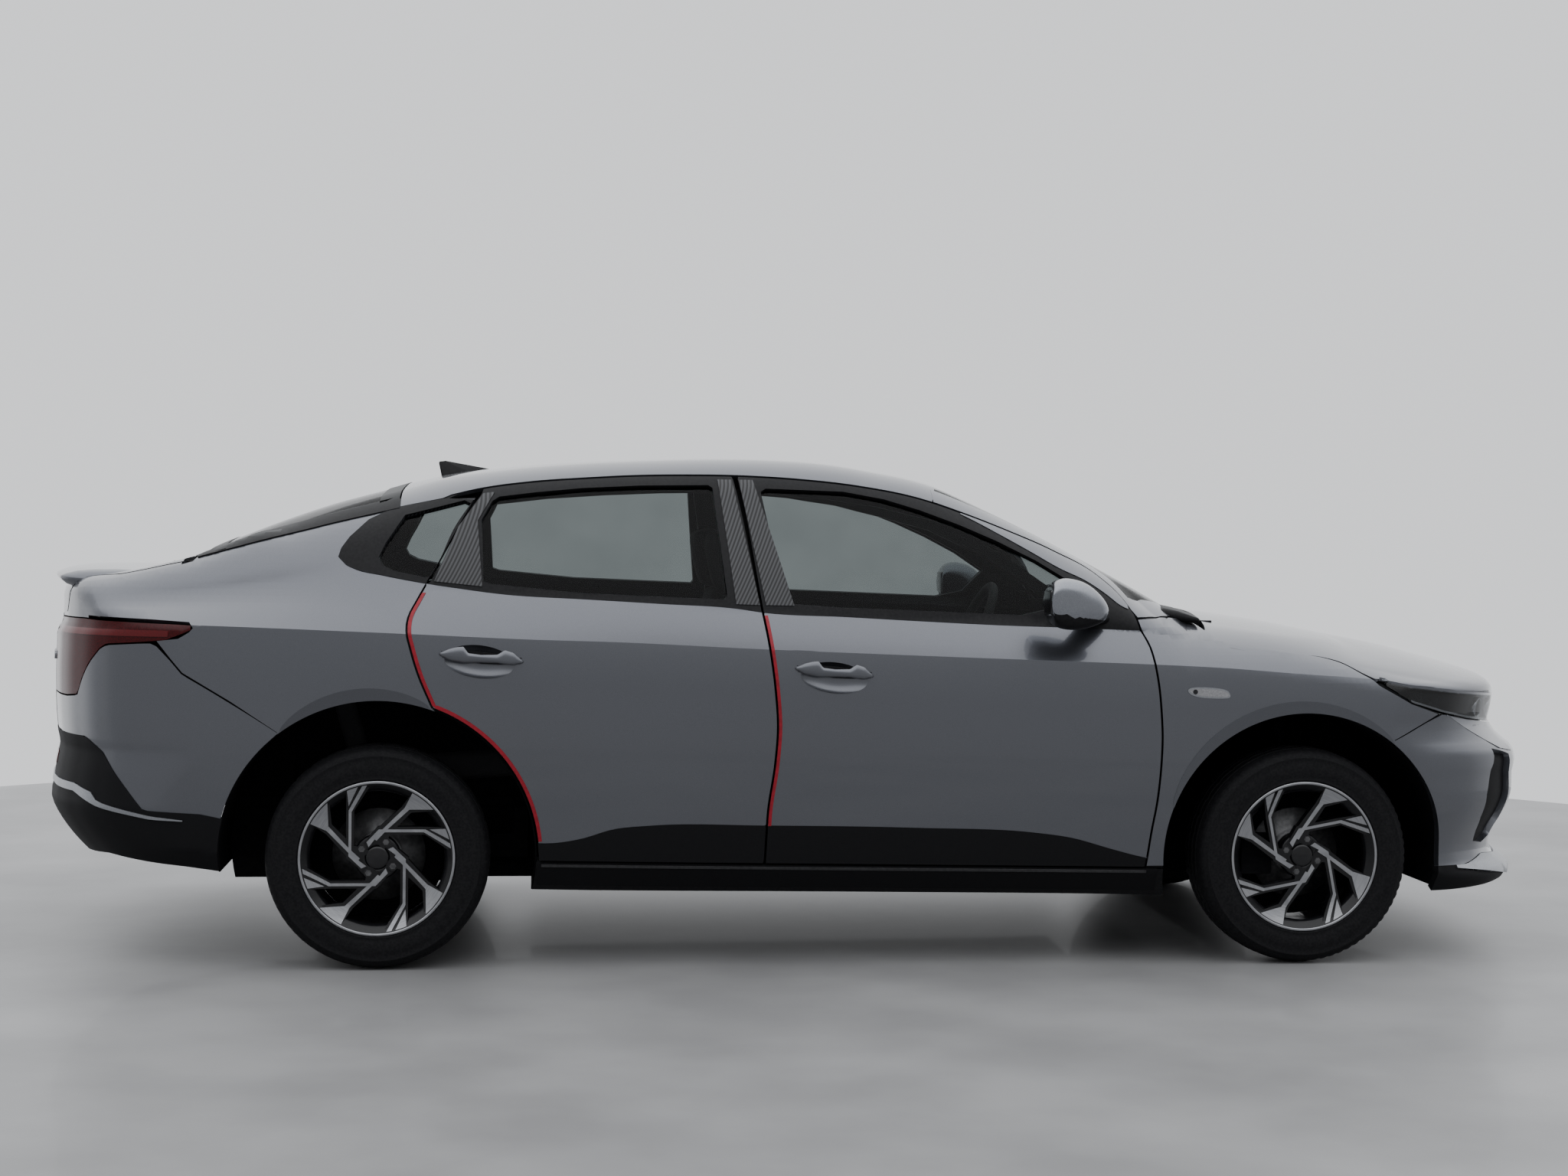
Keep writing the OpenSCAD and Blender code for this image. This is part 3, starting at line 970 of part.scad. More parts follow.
// The spokes seen from outside: four bent thin arms and four wedge arms.
module spokes() {
  k = rim_d / 441;
  for (i = [0:3]) rotate(i * 90) {
    polygon(k * [[-22, 203], [-65, 132], [-65, 8], [-28, -22], [-42, -38], [-87, 0], [-87, 184]]);
    polygon(k * [[96, 178], [153, 132], [93, 127], [34, 66], [20, 20], [-10, 50], [4, 86], [66, 142]]);
  }
}
module rim() {
  w = tyre_w / 2;
  face = w - 24;
  inner = hub_in - track / 2;
  color("silver") rotate([90, 0, 0]) difference() {
    union() {
      rotate_extrude($fn = 96) polygon([[bead_r - 14, -w + 26], [bead_r - seat_gap, -w + 26],
        [bead_r - seat_gap, w - 25], [rim_d / 2, w - 11], [rim_d / 2 - 2, w - 5], [bead_r - 6, w - 5],
        [bead_r - 14, w - 22]]);
      translate([0, 0, face - 40]) cylinder(r = lug_pcd / 2 + 16, h = 34, $fn = 64);
      translate([0, 0, face - 30]) linear_extrude(27) spokes();
      translate([0, 0, inner]) cylinder(r = disc_r, h = disc_t, $fn = 96);
      translate([0, 0, inner + 1]) cylinder(r = lug_pcd / 2 + 8, h = face - 20 - inner, $fn = 64);
    }
    translate([0, 0, -w]) cylinder(r = stub_r + run_fit, h = inner + 62 + w, $fn = 64);
    for (i = [0:lug_count - 1]) rotate([0, 0, i * 360 / lug_count + 61])
      translate([lug_pcd / 2, 0, face - 26]) cylinder(r = lug_r, h = 45, $fn = 32);
  }
}

floor_pan();
door_hinges();
side_frame();  // side_frame_right
mirror([0, 1, 0]) side_frame();  // side_frame_left
roof_panel();
front_fenders();
front_bumper();
rear_bumper();
grille();
headlamps();
tail_lamps();
windscreen();
rear_window();
both_sides() quarter_glass();  // quarter_windows
arch_liners();
dashboard();
front_seats();
rear_seat();
engine();
front_suspension();
rear_axle_beam();  // rear_axle
exhaust();
antenna();
hood();
boot_lid();
spoiler();
door_front();  // door_front_right
mirror([0, 1, 0]) door_front();  // door_front_left
door_rear();  // door_rear_right
mirror([0, 1, 0]) door_rear();  // door_rear_left
glass_front();  // glass_front_right
mirror([0, 1, 0]) glass_front();  // glass_front_left
glass_rear();  // glass_rear_right
mirror([0, 1, 0]) glass_rear();  // glass_rear_left
mirror_pod();  // mirror_right
mirror([0, 1, 0]) mirror_pod();  // mirror_left
knuckle();  // knuckle_right
mirror([0, 1, 0]) knuckle();  // knuckle_left
wheel_at(front_axle, true) tyre();  // tyre_front_right
wheel_at(front_axle, false) tyre();  // tyre_front_left
wheel_at(rear_axle, true) tyre();  // tyre_rear_right
wheel_at(rear_axle, false) tyre();  // tyre_rear_left
wheel_at(front_axle, true) rim();  // rim_front_right
wheel_at(front_axle, false) rim();  // rim_front_left
wheel_at(rear_axle, true) rim();  // rim_rear_right
wheel_at(rear_axle, false) rim();  // rim_rear_left
steering_wheel();
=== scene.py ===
"""Looks of the compact saloon car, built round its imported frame.

Body lines are drawn in millimetres with x from the middle of the wheelbase,
as in the part's source, and carried to the frame's metres by place().
"""
import json
import math

import bmesh
import bpy
import numpy as np
from mathutils import Matrix, Vector
from mathutils.bvhtree import BVHTree
from mathutils.geometry import delaunay_2d_cdt


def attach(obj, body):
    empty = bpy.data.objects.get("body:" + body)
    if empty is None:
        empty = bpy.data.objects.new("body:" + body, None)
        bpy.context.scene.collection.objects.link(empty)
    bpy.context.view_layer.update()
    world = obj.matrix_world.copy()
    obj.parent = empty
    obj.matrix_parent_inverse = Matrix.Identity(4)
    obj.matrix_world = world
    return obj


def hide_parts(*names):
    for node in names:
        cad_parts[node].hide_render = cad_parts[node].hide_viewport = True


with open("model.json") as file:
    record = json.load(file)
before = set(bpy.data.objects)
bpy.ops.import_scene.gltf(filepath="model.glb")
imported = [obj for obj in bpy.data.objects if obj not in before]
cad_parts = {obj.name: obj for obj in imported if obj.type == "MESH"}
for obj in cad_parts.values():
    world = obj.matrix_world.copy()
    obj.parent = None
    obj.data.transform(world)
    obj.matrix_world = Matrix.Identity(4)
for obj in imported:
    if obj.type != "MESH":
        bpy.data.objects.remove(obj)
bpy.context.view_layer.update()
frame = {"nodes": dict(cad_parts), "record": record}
nodes = frame["nodes"]

MID_X = 82.5
AXLE = 1340.0
AXLE_Z = 316.0
TRACK = 1540.0
ARCH_FRONT = 421.0
ARCH_REAR = 446.0
FAN_MM = 15.0
TAIL_MID = 180
SCREEN_HEAD = 272
SCREEN_FOOT = 985
TURN = 6.2832


# Smooth lines

class Line:
    """A smooth curve through points whose first values rise."""

    def __init__(self, points):
        p = np.array(points, float)
        self.x = p[:, 0]
        self.y = p[:, 1]
        self.h = np.diff(self.x)
        s = np.diff(self.y) / self.h
        h = self.h
        lean = np.empty(len(p))
        lean[0] = s[0]
        lean[-1] = s[-1]
        lean[1:-1] = (h[1:] * s[:-1] + h[:-1] * s[1:]) / (h[:-1] + h[1:])
        self.lean = lean

    def __call__(self, x):
        x = np.asarray(x, float)
        i = np.clip(np.searchsorted(self.x, x, side="right") - 1, 0, len(self.h) - 1)
        h = self.h[i]
        f = np.clip((x - self.x[i]) / h, 0, 1)
        g = 1 - f
        inside = (self.y[i] * g * g * (1 + 2 * f) + self.y[i + 1] * f * f * (3 - 2 * f)
                  + h * f * g * (g * self.lean[i] - f * self.lean[i + 1]))
        below = np.minimum(x - self.x[0], 0) * self.lean[0]
        above = np.maximum(x - self.x[-1], 0) * self.lean[-1]
        return inside + below + above


Z_LINES = [
    Line([(-2360, 330), (-2200, 300), (-1770, 262), (-900, 233), (0, 222), (870, 211), (1770, 186),
          (2000, 190), (2190, 215)]),
    Line([(-2360, 370), (-1770, 330), (-900, 306), (870, 280), (1770, 270), (2190, 290)]),
    Line([(-2360, 750), (-2161, 744), (-1996, 734), (-1788, 740), (-1340, 775), (-921, 798),
          (-684, 793), (-249, 780), (191, 758), (638, 746), (886, 743), (1340, 735), (1770, 700),
          (2190, 660)]),
    Line([(-2360, 965), (-1835, 966), (-1650, 961), (-1438, 954), (-1267, 948), (-901, 934),
          (-684, 929), (-247, 911), (195, 896), (642, 882), (867, 875), (1094, 865), (1321, 849),
          (1527, 835), (1800, 800), (2190, 740)]),
    Line([(-2360, 1025), (-1876, 1040), (-1671, 1058), (-1463, 1075), (-1207, 1076), (-989, 1058),
          (-552, 1036), (-243, 1012), (202, 992), (652, 976), (857, 965), (1052, 940), (1329, 905),
          (1463, 880), (1600, 850), (1900, 800), (2190, 755)]),
    Line([(-2360, 1080), (-2206, 1090), (-2121, 1099), (-2035, 1116), (-1950, 1134), (-1876, 1148),
          (-1779, 1175), (-1671, 1205), (-1562, 1233), (-1475, 1256), (-1379, 1275), (-1301, 1297),
          (-1214, 1318), (-1082, 1357), (-905, 1384), (-771, 1395), (-613, 1405), (-455, 1409),
          (-318, 1409), (-136, 1401), (46, 1383), (227, 1349), (362, 1305), (496, 1254), (628, 1197),
          (759, 1122), (857, 1040), (1000, 985), (1150, 965), (1329, 950), (1600, 890), (1900, 830),
          (2190, 775)]),
]
Y_MAX = Line([(-2360, 800), (-2200, 838), (-2000, 862), (-1700, 877), (-1340, 882.5), (-900, 880),
              (-300, 879), (400, 880), (900, 881), (1340, 882.5), (1600, 877), (1800, 862),
              (2000, 835), (2190, 795)])
BELT_IN = Line([(-2360, 110), (-2206, 115), (-1876, 135), (-1671, 137), (-1463, 118), (-1300, 105),
                (-900, 80), (857, 76), (1052, 78), (1329, 62), (1600, 60), (2190, 60)])
Y_RAIL = Line([(-2206, 668), (-1876, 664), (-1671, 660), (-1475, 655), (-1301, 643), (-1082, 612),
               (-771, 594), (-455, 586), (-136, 589), (46, 597), (227, 613), (362, 633), (496, 656),
               (628, 690), (759, 724), (857, 752), (1000, 735), (1150, 715), (1329, 700),
               (1600, 700), (1900, 690), (2190, 670)])
SECTION_IN = (70, 24, 0, 12)
SECTION_BULGE = (0, 8, 3, 4, 14)
ROOF = Line([(-2100, 1070), (-2020, 1110), (-1950, 1145), (-1880, 1183), (-1790, 1221),
             (-1700, 1257), (-1608, 1291), (-1516, 1322), (-1424, 1348), (-1350, 1368),
             (-1283, 1388), (-1189, 1411), (-1024, 1435), (-811, 1455), (-596, 1467), (-356, 1475),
             (-187, 1474), (7, 1462), (153, 1440), (250, 1423), (338, 1400), (430, 1362),
             (523, 1320), (663, 1254), (803, 1182), (944, 1108), (1040, 1055), (1120, 1008),
             (1200, 960)])
HOOD = Line([(900, 1035), (1050, 1024), (1166, 1013), (1375, 987), (1637, 940), (1795, 910),
             (1901, 885), (2034, 846), (2100, 815), (2150, 770), (2190, 720)])
DECK = Line([(-2360, 1070), (-2290, 1090), (-2206, 1101), (-2121, 1111), (-2035, 1127),
             (-1950, 1147), (-1885, 1163), (-1800, 1195), (-1700, 1232), (-1560, 1246)])
NOSE = Line([(150, 2060), (186, 2090), (215, 2150), (232, 2172), (250, 2172), (285, 2125),
             (330, 2112), (370, 2128), (408, 2152), (468, 2181), (540, 2189), (594, 2190),
             (612, 2182), (650, 2135), (690, 2105), (740, 2112), (771, 2116), (810, 2112),
             (860, 2070)])
NOSE_BACK = Line([(0, 0), (200, 8), (400, 38), (550, 88), (650, 140), (750, 230), (820, 340),
                  (880, 480), (920, 600)])
TAIL = Line([(240, 2170), (258, 2197), (291, 2240), (337, 2287), (394, 2330), (438, 2352),
             (452, 2355), (480, 2350), (560, 2338), (590, 2332), (610, 2330), (625, 2334),
             (680, 2341), (770, 2345), (900, 2343), (940, 2340), (960, 2328), (1000, 2324),
             (1075, 2318), (1100, 2305), (1130, 2280)])
TAIL_BACK = Line([(0, 0), (200, 8), (350, 28), (500, 62), (600, 95), (700, 150), (780, 225),
                  (830, 310), (870, 430), (900, 560)])


def soft_max(a, b, k):
    h = np.maximum(k - np.abs(a - b), 0)
    return np.maximum(a, b) + h * h / (4 * k)


def width_at(x, z):
    """Half width of the side at a height, before it is blended into the top."""
    w = Y_MAX(x)
    zs = [line(x) for line in Z_LINES]
    ys = [w - inset for inset in SECTION_IN] + [w - BELT_IN(x), Y_RAIL(x)]
    out = None
    for i in range(5):
        f = (z - zs[i]) / (zs[i + 1] - zs[i])
        v = ys[i] + (ys[i + 1] - ys[i]) * f + SECTION_BULGE[i] * 4 * f * (1 - f)
        if i == 4:
            fillet = np.interp(x, (-1320, -1180), (48, 0.5))
            out = np.where(z >= zs[3], soft_max(last, v, fillet), out)
        else:
            out = v if i == 0 else np.where(z >= zs[i], v, out)
        last = v
    return out


def roof_z(x, y):
    q = (y / 640) ** 2
    t = np.clip((x + 475) / 775, -1, 1)
    return ROOF(x + 70 * q * t) - 30 * q


def top_z(x, y):
    hood = HOOD(x) - 45 * (np.abs(y) / 700) ** 2.2
    deck = DECK(x) - 10 * (y / 650) ** 2
    roof = roof_z(x, y)
    front = np.where(x < 1250, np.maximum(hood, roof), hood)
    rear = np.where(x > -2100, np.maximum(deck, roof), deck)
    return np.where(x > 600, front, np.where(x < -1560, rear, roof))


def outside(x, y, z):
    """Above zero outside the body, below zero inside it."""
    k = np.interp(x, (-1700, -1400, 1000, 1050), (60, 100, 100, 90))
    a = soft_max(np.abs(y) - width_at(x, z), z - top_z(x, y), k)
    nose = soft_max(a, x - NOSE(z) + NOSE_BACK(np.abs(y)), 50.0)
    tail = soft_max(a, TAIL_BACK(np.abs(y)) - TAIL(z) - x, 50.0)
    return np.where(x > 1450, nose, np.where(x < -1450, tail, a))


def search(test, low, high, shape):
    """The place between low and high where test passes zero."""
    lo = np.full(shape, float(low))
    hi = np.full(shape, float(high))
    for _ in range(19):
        m = (lo + hi) / 2
        out = test(m) > 0
        hi = np.where(out, m, hi)
        lo = np.where(out, lo, m)
    return (lo + hi) / 2


def arrays(*values):
    return np.broadcast_arrays(*[np.asarray(v, float) for v in values])


def side_y(x, z):
    x, z = arrays(x, z)
    return search(lambda y: outside(x, y, z), 0, 900, x.shape)


def skin_z(x, y):
    x, y = arrays(x, y)
    return search(lambda z: outside(x, y, z), 500, 1500, x.shape)


def fan_r(c, a, z):
    a, z = arrays(np.radians(a), z)
    return search(lambda r: outside(c + r * np.cos(a), r * np.sin(a), z), 300, 1400, a.shape)


def rear_x(y, z):
    y, z = arrays(y, z)
    return -search(lambda x: outside(-x, y, z), 1500, 2400, y.shape)


def on_side(u, v):
    return np.stack([u, -side_y(u, v), v], -1)


def on_top(u, v):
    return np.stack([u, v, skin_z(u, v)], -1)


def on_tail(u, v):
    return np.stack([rear_x(u, v), u, v], -1)


def on_fan(c):
    """Points of the nose or tail, over an arc length and a height."""
    def points(u, v):
        a = u / FAN_MM
        r = fan_r(c, a, v)
        a = np.radians(a)
        return np.stack([c + r * np.cos(a), r * np.sin(a), v], -1)
    return points


def place(points):
    p = np.array(points, float)
    p[..., 0] += MID_X
    return p / 1000


def table(pairs, a):
    return np.interp(np.abs(a), pairs[0], pairs[1])


def raised(pairs, d):
    return pairs[0], [z + d for z in pairs[1]]


def fan_line(pairs, a0, a1, n, shift=0.0, middle=0.0):
    """A line of tabled heights over the arc of the nose or tail."""
    return [((middle + a) * FAN_MM, float(table(pairs, a)) + shift) for a in np.linspace(a0, a1, n)]


def fan_bar(a0, a1, low, high, n, middle=0.0):
    """A level bar over the arc of the nose or tail."""
    return fan_line(([0], [low]), a0, a1, n, 0, middle) + fan_line(([0], [high]), a1, a0, n, 0, middle)


def along(line, x0, x1, n, shift=0.0):
    return [(x, float(line(x)) + shift) for x in np.linspace(x0, x1, n)]


def up(line, z0, z1, n, shift=0.0):
    return [(float(line(z)) + shift, z) for z in np.linspace(z0, z1, n)]


def far_side(points):
    """A line's mirror image on the other side, run back."""
    return [(x, -y) for x, y in reversed(points)]


def circle(x, y, r, n):
    return [(x + r * math.cos(t), y + r * math.sin(t)) for t in np.linspace(0, TURN, n + 1)[:-1]]


# Meshes

def new_object(name, verts, faces, material, smooth=True):
    mesh = bpy.data.meshes.new(name)
    mesh.from_pydata([tuple(v) for v in verts], [], [tuple(f) for f in faces])
    mesh.update()
    obj = bpy.data.objects.new(name, mesh)
    bpy.context.scene.collection.objects.link(obj)
    for m in material if isinstance(material, (list, tuple)) else [material]:
        mesh.materials.append(m)
    if smooth:
        mesh.polygons.foreach_set("use_smooth", np.ones(len(mesh.polygons), bool))
    return obj


def dense(loop, step):
    """A closed outline with points no further apart than step."""
    p = np.array(loop, float)
    out = []
    for a, b in zip(p, np.roll(p, -1, 0)):
        n = max(int(math.ceil(np.hypot(*(b - a)) / step)), 1)
        if np.hypot(*(b - a)) < 1e-6:
            continue
        out.extend(a + (b - a) * (np.arange(n) / n)[:, None])
    return np.array(out)


def inside_and_far(points, loops):
    """Which points lie inside the outlines, and how far from them."""
    px = points[:, 0:1]
    py = points[:, 1:2]
    odd = np.zeros(len(points), int)
    near = np.full(len(points), 1e9)
    for loop in loops:
        a = loop
        b = np.roll(loop, -1, 0)
        ax, ay, bx, by = a[:, 0], a[:, 1], b[:, 0], b[:, 1]
        cross = (ay > py) != (by > py)
        at = ax + (py - ay) * (bx - ax) / np.where(by == ay, 1e-9, by - ay)
        odd += np.sum(cross & (px < at), 1)
        d = b - a
        t = np.clip(((px - ax) * d[:, 0] + (py - ay) * d[:, 1]) / np.sum(d * d, 1), 0, 1)
        near = np.minimum(near, np.min(np.hypot(px - ax - t * d[:, 0], py - ay - t * d[:, 1]), 1))
    return odd % 2 == 1, near


def normals_at(points_on, u, v, d=1.5):
    du = points_on(u + d, v) - points_on(u - d, v)
    dv = points_on(u, v + d) - points_on(u, v - d)
    n = np.cross(du, dv)
    n /= np.maximum(np.linalg.norm(n, axis=-1, keepdims=True), 1e-9)
    p = points_on(u, v)
    core = np.stack([np.clip(p[..., 0], -1500, 1400) * 0.9, p[..., 1] * 0, p[..., 2] * 0 + 650], -1)
    core[..., 2] = np.where(np.abs(p[..., 0]) < 1500, core[..., 2], np.minimum(p[..., 2], 800))
    flip = np.sum(n * (p - core), -1) < 0
    n[flip] *= -1
    return p, n


def mirrored(obj, name):
    """A copy of a right-hand piece for the left side."""
    mesh = obj.data
    v = np.array([p.co for p in mesh.vertices])
    v[:, 1] *= -1
    faces = [tuple(reversed(p.vertices)) for p in mesh.polygons]
    twin = new_object(name, v, faces, list(mesh.materials))
    index = np.array([p.material_index for p in mesh.polygons], dtype=np.int32)
    smooth = np.array([p.use_smooth for p in mesh.polygons], dtype=bool)
    twin.data.polygons.foreach_set("material_index", index)
    twin.data.polygons.foreach_set("use_smooth", smooth)
    if mesh.has_custom_normals:
        n = np.array([tuple(c.vector) for c in mesh.corner_normals])
        n[:, 1] *= -1
        spans = [range(p.loop_start, p.loop_start + p.loop_total) for p in mesh.polygons]
        order = [k for span in spans for k in reversed(span)]
        twin.data.normals_split_custom_set(n[order])
    return twin


def pair(obj, body):
    """Rides a right-hand piece and its mirror image on their bodies."""
    twin = mirrored(obj, obj.name.replace("_right", "_left"))
    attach(obj, body)
    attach(twin, body.replace("_right", "_left"))
    return twin


def one(obj, body):
    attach(obj, body)
    return obj


def solid_tree(names):
    """A search tree over some of the frame's own solids."""
    verts = []
    faces = []
    for name in names:
        mesh = nodes[name].data
        base = len(verts)
        verts += [tuple(v.co) for v in mesh.vertices]
        faces += [[base + i for i in p.vertices] for p in mesh.polygons]
    return BVHTree.FromPolygons(verts, faces)


SKINS = ["roof_panel", "hood", "boot_lid", "front_fenders"]
SKINS += [n + s for n in ("side_frame", "door_front", "door_rear") for s in ("_right", "_left")]
SOLIDS = solid_tree(SKINS)
LIFT_MOST = 14.0
LIFT_FROM = 2.0
REACH = 30.0
STAND_OFF = 1.2


def lifts(p, n, out, tris):
    """How much further out each point has to stand to cover the solids."""
    start = place(p + n * REACH)
    up = np.zeros(len(p))
    for k in range(len(p)):
        hit = SOLIDS.ray_cast(Vector(start[k]), Vector(-n[k]), REACH / 1000)
        if hit[0] is not None:
            stand = REACH - hit[3] * 1000
            if stand + STAND_OFF - out < LIFT_MOST:
                up[k] = max(stand + STAND_OFF - out, 0)
    for _ in range(2):
        most = up.copy()
        for i in range(3):
            np.maximum.at(most, tris[:, i], up[tris].max(1) * 0.85)
        up = most
    return up


def patch(name, points_on, loops, step, material, out=1.5, rim=14.0, crease=None, bend=None, calm=None):
    """A skin over the body inside an outline, with holes, and edges turned in.

    A crease is a line of heights along which the shading breaks, bend turns
    the shading's normals, and calm is a box in which the skin isn't lifted.
    """
    loops = [dense(p, step * 0.7) for p in loops]
    low = np.min(loops[0], 0)
    high = np.max(loops[0], 0)
    us = np.arange(low[0] - step, high[0] + step, step)
    vs = np.arange(low[1] - step, high[1] + step, step * 0.87)
    grid = np.array([(u + (step / 2 if j % 2 else 0), v) for j, v in enumerate(vs) for u in us])
    inside, near = inside_and_far(grid, loops)
    grid = grid[inside & (near > step * 0.45)]
    edges = []
    count = 0
    for loop in loops:
        ring = list(range(count, count + len(loop)))
        edges += list(zip(ring, ring[1:] + ring[:1]))
        count += len(loop)
    if crease is not None:
        grid = grid[np.abs(grid[:, 1] - crease(grid[:, 0])) > step * 0.4]
        line = np.stack([us, crease(us)], -1)
        edges += [(count + i, count + i + 1) for i in range(len(us) - 1)]
        grid = np.concatenate([line, grid])
    flat = np.concatenate(loops + [grid])
    made = delaunay_2d_cdt([Vector(p) for p in flat], edges, [], 0, 1e-5)
    flat2 = np.array([tuple(p) for p in made[0]])
    tris = np.array([f for f in made[2] if len(f) == 3])
    keep, _ = inside_and_far(flat2[tris].mean(1), loops)
    tris = tris[keep]
    p, n = normals_at(points_on, flat2[:, 0], flat2[:, 1])
    if out >= LIFT_FROM:
        used = np.unique(tris)
        rank = np.zeros(len(p), int)
        rank[used] = np.arange(len(used))
        up = np.zeros(len(p))
        up[used] = lifts(p[used], n[used], out, rank[tris])
        if calm is not None:
            low, high = calm
            up[np.all((flat2 > low) & (flat2 < high), 1)] = 0
        p = p + n * up[:, None]
    p = p + n * out
    a, b, c = p[tris[:, 0]], p[tris[:, 1]], p[tris[:, 2]]
    back = np.sum(np.cross(b - a, c - a) * n[tris[:, 0]], -1) < 0
    tris[back] = tris[back][:, ::-1]
    shade = n if bend is None else bend(flat2, n)
    shade = shade / np.linalg.norm(shade, axis=1, keepdims=True)
    corners = shade[tris]
    if crease is not None:
        at = flat2[tris]
        to = at.mean(1, keepdims=True) - at
        far = np.linalg.norm(to, axis=-1, keepdims=True)
        at = at + to * np.minimum(4.0 / np.maximum(far, 1e-6), 0.8)
        _, corners = normals_at(points_on, at[..., 0].ravel(), at[..., 1].ravel(), 1.0)
    corners = [corners.reshape(-1, 3)]
    verts = [place(p)]
    faces = [tuple(int(i) for i in t) for t in tris]
    if rim:
        owner = {(i, j) for t in faces for i, j in ((t[0], t[1]), (t[1], t[2]), (t[2], t[0]))}
        edge_list = sorted((i, j) for (i, j) in owner if (j, i) not in owner)
        used = sorted({i for e in edge_list for i in e})
        where = {i: k for k, i in enumerate(used)}
        base = len(p)
        m = len(used)
        verts.append(place(p[used]))
        verts.append(place(p[used] - n[used] * rim))
        for i, j in edge_list:
            i, j = where[i], where[j]
            faces.append((base + j, base + i, base + m + i, base + m + j))
        corners.append(np.zeros((4 * len(edge_list), 3)))
    obj = new_object(name, np.concatenate(verts), faces, material)
    obj.data.normals_split_custom_set(np.concatenate(corners))
    return obj


def grid_faces(n, m, closed_u=False, closed_v=False):
    faces = []
    for i in range(n if closed_u else n - 1):
        for j in range(m if closed_v else m - 1):
            i2 = (i + 1) % n
            j2 = (j + 1) % m
            faces.append((i * m + j, i2 * m + j, i2 * m + j2, i * m + j2))
    return faces


def capped_faces(n, m):
    """Faces of n rings of m points, closed at both ends."""
    ends = [tuple(range(m)), tuple((n - 1) * m + k for k in range(m - 1, -1, -1))]
    return grid_faces(n, m, False, True) + ends


def fix_normals(obj):
    bm = bmesh.new()
    bm.from_mesh(obj.data)
    bmesh.ops.recalc_face_normals(bm, faces=bm.faces)
    bm.to_mesh(obj.data)
    bm.free()


def revolve(name, profile, material, n):
    """A turned form about the wheel's axis; the profile holds (radius, outward) in millimetres."""
    prof = np.array(profile, float) / 1000
    t = np.linspace(0, 2 * math.pi, n, endpoint=False)
    r = prof[:, 0]
    ring = np.stack([np.cos(t)[:, None] * r, -np.broadcast_to(prof[:, 1], (n, len(r))),
                     np.sin(t)[:, None] * r], -1)
    obj = new_object(name, ring.reshape(-1, 3), grid_faces(n, len(r), True, False), material)
    fix_normals(obj)
    return obj


def slab(name, outline, low, high, materials, bevel=0.0):
    """A flat plate of a wheel: an outline seen from outside, between two heights."""
    pts = [(p[0] / 1000, p[1] / 1000) for p in outline]
    n = len(pts)
    verts = [(x, -low / 1000, z) for x, z in pts] + [(x, -high / 1000, z) for x, z in pts]
    faces = [tuple(range(n, 2 * n)), tuple(reversed(range(n)))]
    faces += [(i, (i + 1) % n, n + (i + 1) % n, n + i) for i in range(n)]
    obj = new_object(name, verts, faces, materials, smooth=False)
    fix_normals(obj)
    if bevel:
        bm = bmesh.new()
        bm.from_mesh(obj.data)
        edges = [e for e in bm.edges if all(v.co.y < -high / 1000 + 1e-6 for v in e.verts)]
        bmesh.ops.bevel(bm, geom=edges, offset=bevel / 1000, segments=2, affect="EDGES")
        bm.to_mesh(obj.data)
        bm.free()
    return obj


def join(objs, name):
    """One object out of several."""
    with bpy.context.temp_override(active_object=objs[0], selected_objects=objs,
                                   selected_editable_objects=objs):
        bpy.ops.object.join()
    objs[0].name = name
    return objs[0]


def ball(n=20, m=12):
    pts = []
    for i in range(m + 1):
        t = math.pi * i / m
        for k in range(n):
            p = 2 * math.pi * k / n
            pts.append((math.sin(t) * math.cos(p), math.sin(t) * math.sin(p), math.cos(t)))
    return np.array(pts)


def hull_of(name, spheres, material):
    """A rounded form stretched over balls given as x, y, z and radius."""
    unit = ball()
    pts = np.concatenate([unit * s[3] + np.array(s[:3]) for s in spheres])
    bm = bmesh.new()
    for p in place(pts):
        bm.verts.new(p)
    got = bmesh.ops.convex_hull(bm, input=bm.verts)
    bmesh.ops.delete(bm, geom=[v for v in got["geom_interior"] if isinstance(v, bmesh.types.BMVert)],
                     context="VERTS")
    loose = [v for v in bm.verts if not v.link_faces]
    bmesh.ops.delete(bm, geom=loose, context="VERTS")
    bmesh.ops.recalc_face_normals(bm, faces=bm.faces)
    mesh = bpy.data.meshes.new(name)
    bm.to_mesh(mesh)
    bm.free()
    mesh.materials.append(material)
    mesh.polygons.foreach_set("use_smooth", np.ones(len(mesh.polygons), bool))
    obj = bpy.data.objects.new(name, mesh)
    bpy.context.scene.collection.objects.link(obj)
    return obj


# Materials

def add(tree, kind, **values):
    """A new shader node with constants on its sockets."""
    node = tree.nodes.new("ShaderNode" + kind)
    for name, value in values.items():
        node.inputs[name.replace("_", " ")].default_value = value
    return node


